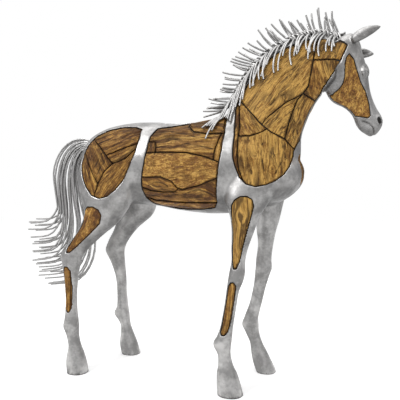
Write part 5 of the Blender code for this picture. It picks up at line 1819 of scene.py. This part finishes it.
class Effects:
    """The shader node groups that several finishes share. Each is built once."""

    made: dict[str, bpy.types.NodeTree] = {}

    @staticmethod
    def started(name: str, inputs: dict[str, float | None], *outputs: str) -> tuple[Wiring, Items, Node]:
        """Begins a group with named inputs and outputs.

        Args:
            name: The group's name.
            inputs: Each input's value. One without a value is a vector.
            outputs: The names of its outputs, which are numbers.

        Returns:
            The wiring, the sockets that the inputs come from, and the group's output node.
        """
        tree = bpy.data.node_groups.new(name, "ShaderNodeTree")
        for label, value in inputs.items():
            kind = "NodeSocketVector" if value is None else "NodeSocketFloat"
            socket = tree.interface.new_socket(label, in_out="INPUT", socket_type=kind)
            if value is not None:
                socket.default_value = value
        for label in outputs:
            tree.interface.new_socket(label, in_out="OUTPUT", socket_type="NodeSocketFloat")
        wiring = Wiring(tree)
        Effects.made[name] = tree
        return wiring, wiring.add("NodeGroupInput").outputs, wiring.add("NodeGroupOutput")

    @staticmethod
    def placed(wiring: Wiring, name: str, inputs: dict) -> Node:
        """Puts a group into a material.

        Args:
            wiring: The material's wiring.
            name: The group's name.
            inputs: The group's inputs.

        Returns:
            The group's node.
        """
        if name not in Effects.made:
            getattr(Effects, name)()
        return wiring.add("ShaderNodeGroup", inputs, node_tree=Effects.made[name])

    @staticmethod
    def cloudy_mottle() -> None:
        """Soft clouds of light and dark over a surface, in two sizes."""
        inputs = {"Vector": None, "Cloud Size": 0.05, "Fine Share": 0.35, "Contrast": 1.0}
        w, given, sink = Effects.started("cloudy_mottle", inputs, "Mask")
        scale = w.math("DIVIDE", 1.0, given["Cloud Size"])
        large = w.noise(given["Vector"], 3.0, 0.5, 0.4, scale)
        small = w.noise(given["Vector"], 4.0, 0.6, 0.2, w.math("MULTIPLY", scale, 5.3))
        both = w.math("ADD", w.swing(small, given["Fine Share"]), large)
        swing = w.swing(both, w.math("MULTIPLY", given["Contrast"], 2.2))
        w.feed(sink, {"Mask": w.math("ADD", swing, 0.5, clamp=True)})

    @staticmethod
    def root_grain() -> None:
        """The fibres of weathered wood, from a vector that runs along them."""
        inputs = {"Grain": None, "Fibre Width": 0.004, "Fibre Length": 0.09, "Waver": 0.6}
        w, given, sink = Effects.started("root_grain", inputs, "Fibres", "Bands", "Flecks", "Creases")
        apart = w.add("ShaderNodeSeparateXYZ", {0: given["Grain"]})
        along = w.math("DIVIDE", apart.outputs[0], given["Fibre Length"])
        across = w.math("DIVIDE", apart.outputs[1], given["Fibre Width"])
        inward = w.math("DIVIDE", apart.outputs[2], w.math("MULTIPLY", given["Fibre Width"], 2.5))
        vector = w.add("ShaderNodeCombineXYZ", {0: along, 1: across, 2: inward}).outputs[0]
        fibres = w.noise(vector, 4.0, 0.62, given["Waver"])
        bands = w.noise(w.stretched(vector, (0.5, 0.22, 0.4), (3.1, 1.7, 0.4)), 3.0, 0.6, given["Waver"])
        flecks = w.noise(w.stretched(vector, (4.5, 0.9, 1.0), (7.7, 2.3, 5.1)), 2.0, 0.5)
        wide = w.stretched(vector, (0.50, 0.27, 0.3), (5.3, 0.7, 2.2))
        line = w.math("ABSOLUTE", w.math("SUBTRACT", w.noise(wide, 3.0, 0.55, 0.9), 0.5))
        patch = w.ranged(
            w.noise(w.stretched(vector, (0.7, 0.09, 0.3), (1.3, 4.7, 3.2)), 1.0), 0.36, 0.62, 0.0, 1.0
        )
        thin = w.stretched(vector, (0.75, 0.58, 0.5), (9.3, 3.7, 1.2))
        hair = w.math("ABSOLUTE", w.math("SUBTRACT", w.noise(thin, 3.0, 0.55, 0.7), 0.5))
        # Crease mask: painted shade in the broad splits and the hairline splits along the grain.
        deep = w.math("MULTIPLY", w.ranged(line, 0.015, 0.095, 1.0, 0.0), patch)
        fine = w.math(
            "MULTIPLY", w.ranged(hair, 0.012, 0.085, 0.60, 0.0), w.ranged(fibres, 0.40, 0.60, 1.0, 0.2)
        )
        creases, flecks = w.math("MAXIMUM", deep, fine), w.ranged(flecks, 0.60, 0.72, 0.0, 1.0)
        w.feed(sink, {"Creases": creases, "Fibres": fibres, "Bands": bands, "Flecks": flecks})

    @staticmethod
    def crevice_dark() -> None:
        """How much painted shade, with some grime, lies at a depth below the surface, with an uneven edge."""
        inputs = {"Depth": 0.0, "Vector": None, "Clean Depth": 0.001, "Dark Depth": 0.006}
        w, given, sink = Effects.started("crevice_dark", inputs, "Mask")
        rough = w.swing(w.noise(given["Vector"], 3.0, scale=90.0), 0.002)
        depth = w.math("ADD", given["Depth"], rough)
        sockets = {
            "Value": depth,
            "From Min": given["Clean Depth"],
            "From Max": given["Dark Depth"],
            "To Min": 0.0,
            "To Max": 1.0,
        }
        mask = w.add("ShaderNodeMapRange", sockets, interpolation_type="SMOOTHSTEP").outputs["Result"]
        w.feed(sink, {"Mask": mask})


def material(name: str) -> tuple[Material, Wiring, Node]:
    """A new material.

    Args:
        name: Its name.

    Returns:
        The material, the wiring of its nodes, and its Principled shader.
    """
    made = bpy.data.materials.new(name)
    made.use_nodes = True
    made.node_tree.nodes.clear()
    wiring = Wiring(made.node_tree)
    shader = wiring.add("ShaderNodeBsdfPrincipled")
    wiring.add("ShaderNodeOutputMaterial", {"Surface": shader.outputs["BSDF"]})
    return made, wiring, shader


@dataclass(frozen=True)
class SatinAluminium:
    """Bare aluminium, ground by hand and left satin, with clouds of duller metal."""

    name: str
    bright: Colour = (0.66, 0.65, 0.64, 1.0)
    dull: Colour = (0.31, 0.305, 0.30, 1.0)
    # The near-black colour of the painted shade and grime in grooves and hollows.
    dirt: Colour = (0.035, 0.032, 0.030, 1.0)
    # under: the share of colour kept where faces point straight down, a painted shade on the undersides.
    under: float = 0.36
    cloud_size: float = 0.085
    contrast: float = 1.35
    roughness: Point2 = (0.36, 0.50)
    has_depth: bool = True

    def made(self) -> Material:
        """The material.

        Returns:
            A procedural material on Object coordinates, which reads the attribute "depth" where there is one.
        """
        result, w, shader = material(self.name)
        at = w.add("ShaderNodeTexCoord").outputs["Object"]
        inputs = {"Vector": at, "Cloud Size": self.cloud_size, "Fine Share": 0.5, "Contrast": self.contrast}
        clouds = Effects.placed(w, "cloudy_mottle", inputs).outputs["Mask"]
        smears = w.noise(w.stretched(at, (26.0, 26.0, 70.0)), 5.0, 0.65, 0.8)
        share = w.math("ADD", w.math("MULTIPLY", clouds, 0.75), w.math("MULTIPLY", smears, 0.25))
        colour = w.mixed(share, self.dull, self.bright)
        rough = w.ranged(share, 0.15, 0.85, self.roughness[1], self.roughness[0])
        # Painted shade: the colour is darkened on faces that point down, to the share under on the lowest.
        up = w.add("ShaderNodeSeparateXYZ", {0: w.add("ShaderNodeNewGeometry").outputs["Normal"]}).outputs[2]
        underside_shade = w.ranged(up, -0.75, 0.45, self.under, 1.0)
        shade = w.add("ShaderNodeCombineColor", {0: underside_shade, 1: underside_shade, 2: underside_shade}).outputs[0]
        colour = w.mixed(1.0, colour, shade, "MULTIPLY")
        metal: object = 1.0
        # Painted shade, with some grime, darkens the grooves round the wood and the head's hollows by their
        # depth.
        if self.has_depth:
            depth = w.add("ShaderNodeAttribute", attribute_name="depth").outputs["Fac"]
            inputs = {"Depth": depth, "Vector": at, "Clean Depth": 0.0016, "Dark Depth": 0.0055}
            mask = Effects.placed(w, "crevice_dark", inputs).outputs["Mask"]
            colour = w.mixed(mask, colour, self.dirt)
            rough = w.math("ADD", rough, w.math("MULTIPLY", mask, 0.35), clamp=True)
            metal = w.math("SUBTRACT", 1.0, w.math("MULTIPLY", mask, 0.85))
        grain = w.noise(at, 2.0, 0.5, 0.0, 900.0)
        scratch = w.noise(w.stretched(at, (70.0, 70.0, 420.0)), 2.0, 0.6, 1.6)
        wave = w.noise(at, 2.0, 0.5, 0.3, 34.0)
        height = w.math("ADD", w.math("MULTIPLY", grain, 0.12), w.math("MULTIPLY", scratch, 0.30))
        height = w.math("ADD", height, w.math("MULTIPLY", wave, 1.2))
        bump = w.add(
            "ShaderNodeBump", {"Strength": 0.55, "Distance": 0.0012, "Height": height}
        ).outputs["Normal"]
        w.feed(shader, {"Base Color": colour, "Roughness": rough, "Metallic": metal, "Normal": bump})
        return result


@dataclass(frozen=True)
class RootWood:
    """Weathered root wood, oiled, with its own figure."""

    name: str
    light: Colour = (0.60, 0.345, 0.082, 1.0)
    mid: Colour = (0.275, 0.128, 0.021, 1.0)
    dark: Colour = (0.098, 0.036, 0.006, 1.0)
    black: Colour = (0.034, 0.015, 0.004, 1.0)
    fibre_width: float = 0.0062
    fibre_length: float = 0.15
    waver: float = 0.5
    spots: float = 0.0
    flecks: float = 0.35
    relief: float = 0.9
    creases: float = 0.85

    def made(self) -> Material:
        """The material.

        Returns:
            A procedural material that reads the piece's attributes "grain", "dark", "depth" and "tone".
        """
        result, w, shader = material(self.name)
        grain = w.add("ShaderNodeAttribute", attribute_name="grain").outputs["Vector"]
        # The dark attribute holds painted shade in the splits and along the worn edges, and the knots' own
        # darker colour.
        crack = w.add("ShaderNodeAttribute", attribute_name="dark").outputs["Fac"]
        depth = w.add("ShaderNodeAttribute", attribute_name="depth").outputs["Fac"]
        tone = w.add("ShaderNodeAttribute", attribute_name="tone").outputs["Fac"]
        inputs = {
            "Grain": grain,
            "Fibre Width": self.fibre_width,
            "Fibre Length": self.fibre_length,
            "Waver": self.waver,
        }
        wood = Effects.placed(w, "root_grain", inputs)
        inputs = {"Vector": grain, "Cloud Size": 0.032, "Fine Share": 0.9, "Contrast": 1.5}
        blotch = Effects.placed(w, "cloudy_mottle", inputs).outputs["Mask"]
        swing = w.math("ADD", w.swing(wood.outputs["Fibres"], 1.6), w.swing(wood.outputs["Bands"], 1.7))
        swing = w.math("ADD", swing, w.swing(blotch, 0.34))
        value = w.math("ADD", tone, swing, clamp=True)
        colour = w.mixed(w.ranged(value, 0.05, 0.5, 0.0, 1.0), self.dark, self.mid)
        colour = w.mixed(w.ranged(value, 0.42, 0.98, 0.0, 1.0), colour, self.light)
        colour = w.mixed(w.math("MULTIPLY", wood.outputs["Flecks"], self.flecks), colour, self.dark)
        if self.spots:
            cell = w.add(
                "ShaderNodeTexVoronoi", {"Vector": w.stretched(grain, (1.0, 1.35, 1.0)), "Scale": 105.0}
            )
            dot = w.ranged(cell.outputs["Distance"], 0.24, 0.46, 1.0, 0.0)
            few = w.ranged(w.noise(grain, 2.0, scale=55.0), 0.40, 0.54, 0.0, self.spots)
            colour = w.mixed(w.math("MULTIPLY", dot, few), colour, (0.17, 0.055, 0.018, 1.0))
        # Painted shade in the splits, crease lines and worn edges, with the knots' own darker colour, mixed
        # towards the near-black brown.
        creases = w.math("MULTIPLY", wood.outputs["Creases"], self.creases)
        cut = w.math("MULTIPLY", crack, w.ranged(wood.outputs["Fibres"], 0.30, 0.62, 1.15, 0.75), clamp=True)
        cut = w.math("MAXIMUM", cut, creases)
        colour = w.mixed(cut, colour, self.black)
        # Painted shade: the sides of each piece darken by how deep they lie in the cracks and grooves.
        inputs = {"Depth": depth, "Vector": grain, "Clean Depth": 0.0034, "Dark Depth": 0.0090}
        colour = w.mixed(Effects.placed(w, "crevice_dark", inputs).outputs["Mask"], colour, self.black)
        rough = w.math(
            "ADD", w.ranged(wood.outputs["Fibres"], 0.3, 0.7, 0.62, 0.44), w.math("MULTIPLY", cut, 0.25)
        )
        w.feed(shader, {"Coat Weight": 0.05, "Coat Roughness": 0.35, "Specular IOR Level": 0.26})
        height = w.math("ADD", wood.outputs["Fibres"], w.math("MULTIPLY", wood.outputs["Bands"], 0.7))
        height = w.math("SUBTRACT", height, w.math("MULTIPLY", wood.outputs["Flecks"], 0.25))
        height = w.math("SUBTRACT", height, w.math("MULTIPLY", cut, 0.8))
        bump = w.add("ShaderNodeBump", {"Strength": self.relief, "Distance": 0.0035, "Height": height})
        w.feed(shader, {"Base Color": colour, "Roughness": rough, "Normal": bump.outputs["Normal"]})
        return result


@dataclass(frozen=True)
class Paper:
    """The plain pale surface of the studio's floor."""

    name: str = "studio_paper"
    colour: Colour = (0.94, 0.94, 0.94, 1.0)
    glow: float = 0.34

    def made(self) -> Material:
        """The material."""
        result, w, shader = material(self.name)
        at = w.add("ShaderNodeTexCoord").outputs["Object"]
        shade = w.mixed(w.noise(at, 2.0, scale=0.6), self.colour, (0.96, 0.96, 0.96, 1.0))
        rough = w.ranged(w.noise(at, 2.0, scale=400.0), 0.2, 0.8, 0.85, 0.95)
        w.feed(shader, {"Base Color": shade, "Roughness": rough})
        w.feed(shader, {"Emission Color": (1.0, 1.0, 1.0, 1.0), "Emission Strength": self.glow})
        return result


@dataclass
class Studio:
    """The camera, the lights, and the floor."""

    turn: float = 20.0
    lens: float = 38.7
    shift: float = 0.025
    floor_radius: float = 40.0

    def build(self) -> None:
        """Sets the camera and lights, and lays the floor."""
        view = bpy.data.cameras.new("photo_camera")
        view.lens, view.sensor_width, view.shift_y = self.lens, 36.0, self.shift
        view.clip_end = 200.0
        camera = bpy.data.objects.new("photo_camera", view)
        camera.location = place(69.0, -158.3, 64.5)
        camera.rotation_euler = (math.pi / 2, 0.0, math.radians(self.turn))
        bpy.context.scene.collection.objects.link(camera)
        bpy.context.scene.camera = camera
        self.lamp("overhead", (0.0, -0.6, 4.6), (0.0, 0.0, 1.0), (3.4, 3.4), 36.0)
        self.lamp("front_left", (-2.2, -3.2, 4.0), (0.0, 0.0, 1.0), (1.6, 1.6), 76.0)
        self.lamp("front_right", (4.4, -3.2, 3.0), (0.3, 0.0, 1.2), (2.2, 2.2), 14.0)
        self.lamp("behind", (-1.0, 4.6, 3.0), (0.0, 0.0, 1.0), (2.4, 2.4), 40.0)
        self.world()
        disc = bmesh.new()
        bmesh.ops.create_circle(disc, cap_ends=True, segments=96, radius=self.floor_radius)
        Bench.dressed(Bench.of_shape("studio_floor", disc), Paper().made())

    @staticmethod
    def lamp(name: str, where: Point3, aim: Point3, size: Point2, watts: float) -> None:
        """Adds one soft light.

        Args:
            name: Its name.
            where: Its place, in metres.
            aim: The point that it faces.
            size: Its width and height.
            watts: Its power.
        """
        light = bpy.data.lights.new(name, "AREA")
        light.shape, light.size, light.size_y, light.energy = "RECTANGLE", size[0], size[1], watts
        lamp = bpy.data.objects.new(name, light)
        lamp.location = where
        lamp.rotation_euler = (Vector(aim) - Vector(where)).to_track_quat("-Z", "Y").to_euler()
        bpy.context.scene.collection.objects.link(lamp)

    @staticmethod
    def world() -> None:
        """A white backdrop for the eye, and a softly graded room for everything that the metal mirrors."""
        sky = bpy.data.worlds.new("white_room")
        bpy.context.scene.world = sky
        sky.use_nodes = True
        sky.node_tree.nodes.clear()
        w = Wiring(sky.node_tree)
        height = w.add(
            "ShaderNodeSeparateXYZ", {0: w.add("ShaderNodeTexCoord").outputs["Generated"]}
        ).outputs[2]
        shade = w.mixed(
            w.ranged(height, -0.1, 0.75, 0.0, 1.0), (0.22, 0.22, 0.23, 1.0), (0.80, 0.80, 0.80, 1.0)
        )
        room = w.add("ShaderNodeBackground", {"Color": shade, "Strength": 1.0})
        backdrop = w.add("ShaderNodeBackground", {"Color": (1.0, 1.0, 1.0, 1.0), "Strength": 1.0})
        eye = w.add("ShaderNodeLightPath").outputs["Is Camera Ray"]
        both = w.add("ShaderNodeMixShader", {0: eye, 1: room.outputs[0], 2: backdrop.outputs[0]})
        w.add("ShaderNodeOutputWorld", {"Surface": both.outputs[0]})


def hand_over(piece: Mesh, slot: str, *nodes: str) -> None:
    """Sets a finished piece into the frame.

    Args:
        piece: The finished piece.
        slot: Not used.
        nodes: The nodes that it stands for.
    """
    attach(piece, "root")
    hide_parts(*nodes)
    triangles = sum(len(p.vertices) - 2 for p in piece.data.polygons)
    log.info("%s stands for %s: %d triangles", piece.name, ", ".join(nodes), triangles)


def main() -> None:
    """Builds the sculpture and its studio."""
    logging.basicConfig(level=logging.INFO, format="%(name)s: %(message)s")
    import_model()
    bpy.context.scene.view_settings.view_transform = "Standard"
    fineness = Fineness.chosen()
    Studio().build()
    anatomy = Anatomy()
    casting = Casting(fineness, anatomy)
    figure = casting.figure()
    core = anatomy.core()
    log.info("the figure has %d points", len(figure.data.vertices))

    woods = {
        PLANK: RootWood("root_wood_plank").made(),
        BURL: RootWood(
            "root_wood_burl", fibre_width=0.007, fibre_length=0.04, waver=1.6, spots=0.85, flecks=0.2,
            creases=0.45,
        ).made(),
        SLAB: RootWood(
            "root_wood_slab", fibre_width=0.0050, fibre_length=0.10, waver=0.8, flecks=0.6
        ).made(),
        RIBBED: RootWood("root_wood_ribbed", fibre_width=0.0060, fibre_length=0.20, waver=0.3).made(),
    }
    for piece, node in Inlay(fineness).build(figure, core, woods):
        hand_over(piece, "driftwood", node)

    cast_metal = SatinAluminium("cast_aluminium_satin")
    body = Bench.dressed(casting.build(figure, core), cast_metal.made())
    body.name = "cast_horse"
    hand_over(body, "cast_aluminium", "horse_casting")

    # The rods get the same painted shade on their undersides, with under at 0.30.
    rod_metal = SatinAluminium(
        "bent_rod_aluminium", (0.72, 0.71, 0.70, 1.0), (
            0.44, 0.435, 0.43, 1.0
        ), under=0.30, cloud_size=0.03, has_depth=False
    ).made()
    skin_tree = Bench.tree_of(figure)
    rod_tree = Rods.tree()
    mane = Rods.build("mane_rods", Mane().guides(skin_tree), rod_tree, rod_metal)
    hand_over(mane, "aluminium_rod", "mane")
    tail = Rods.build("tail_rods", Tail().guides(), rod_tree, rod_metal)
    hand_over(tail, "aluminium_rod", "tail")

    Bench.drop(figure, core)


if __name__ == "__main__":
    main()
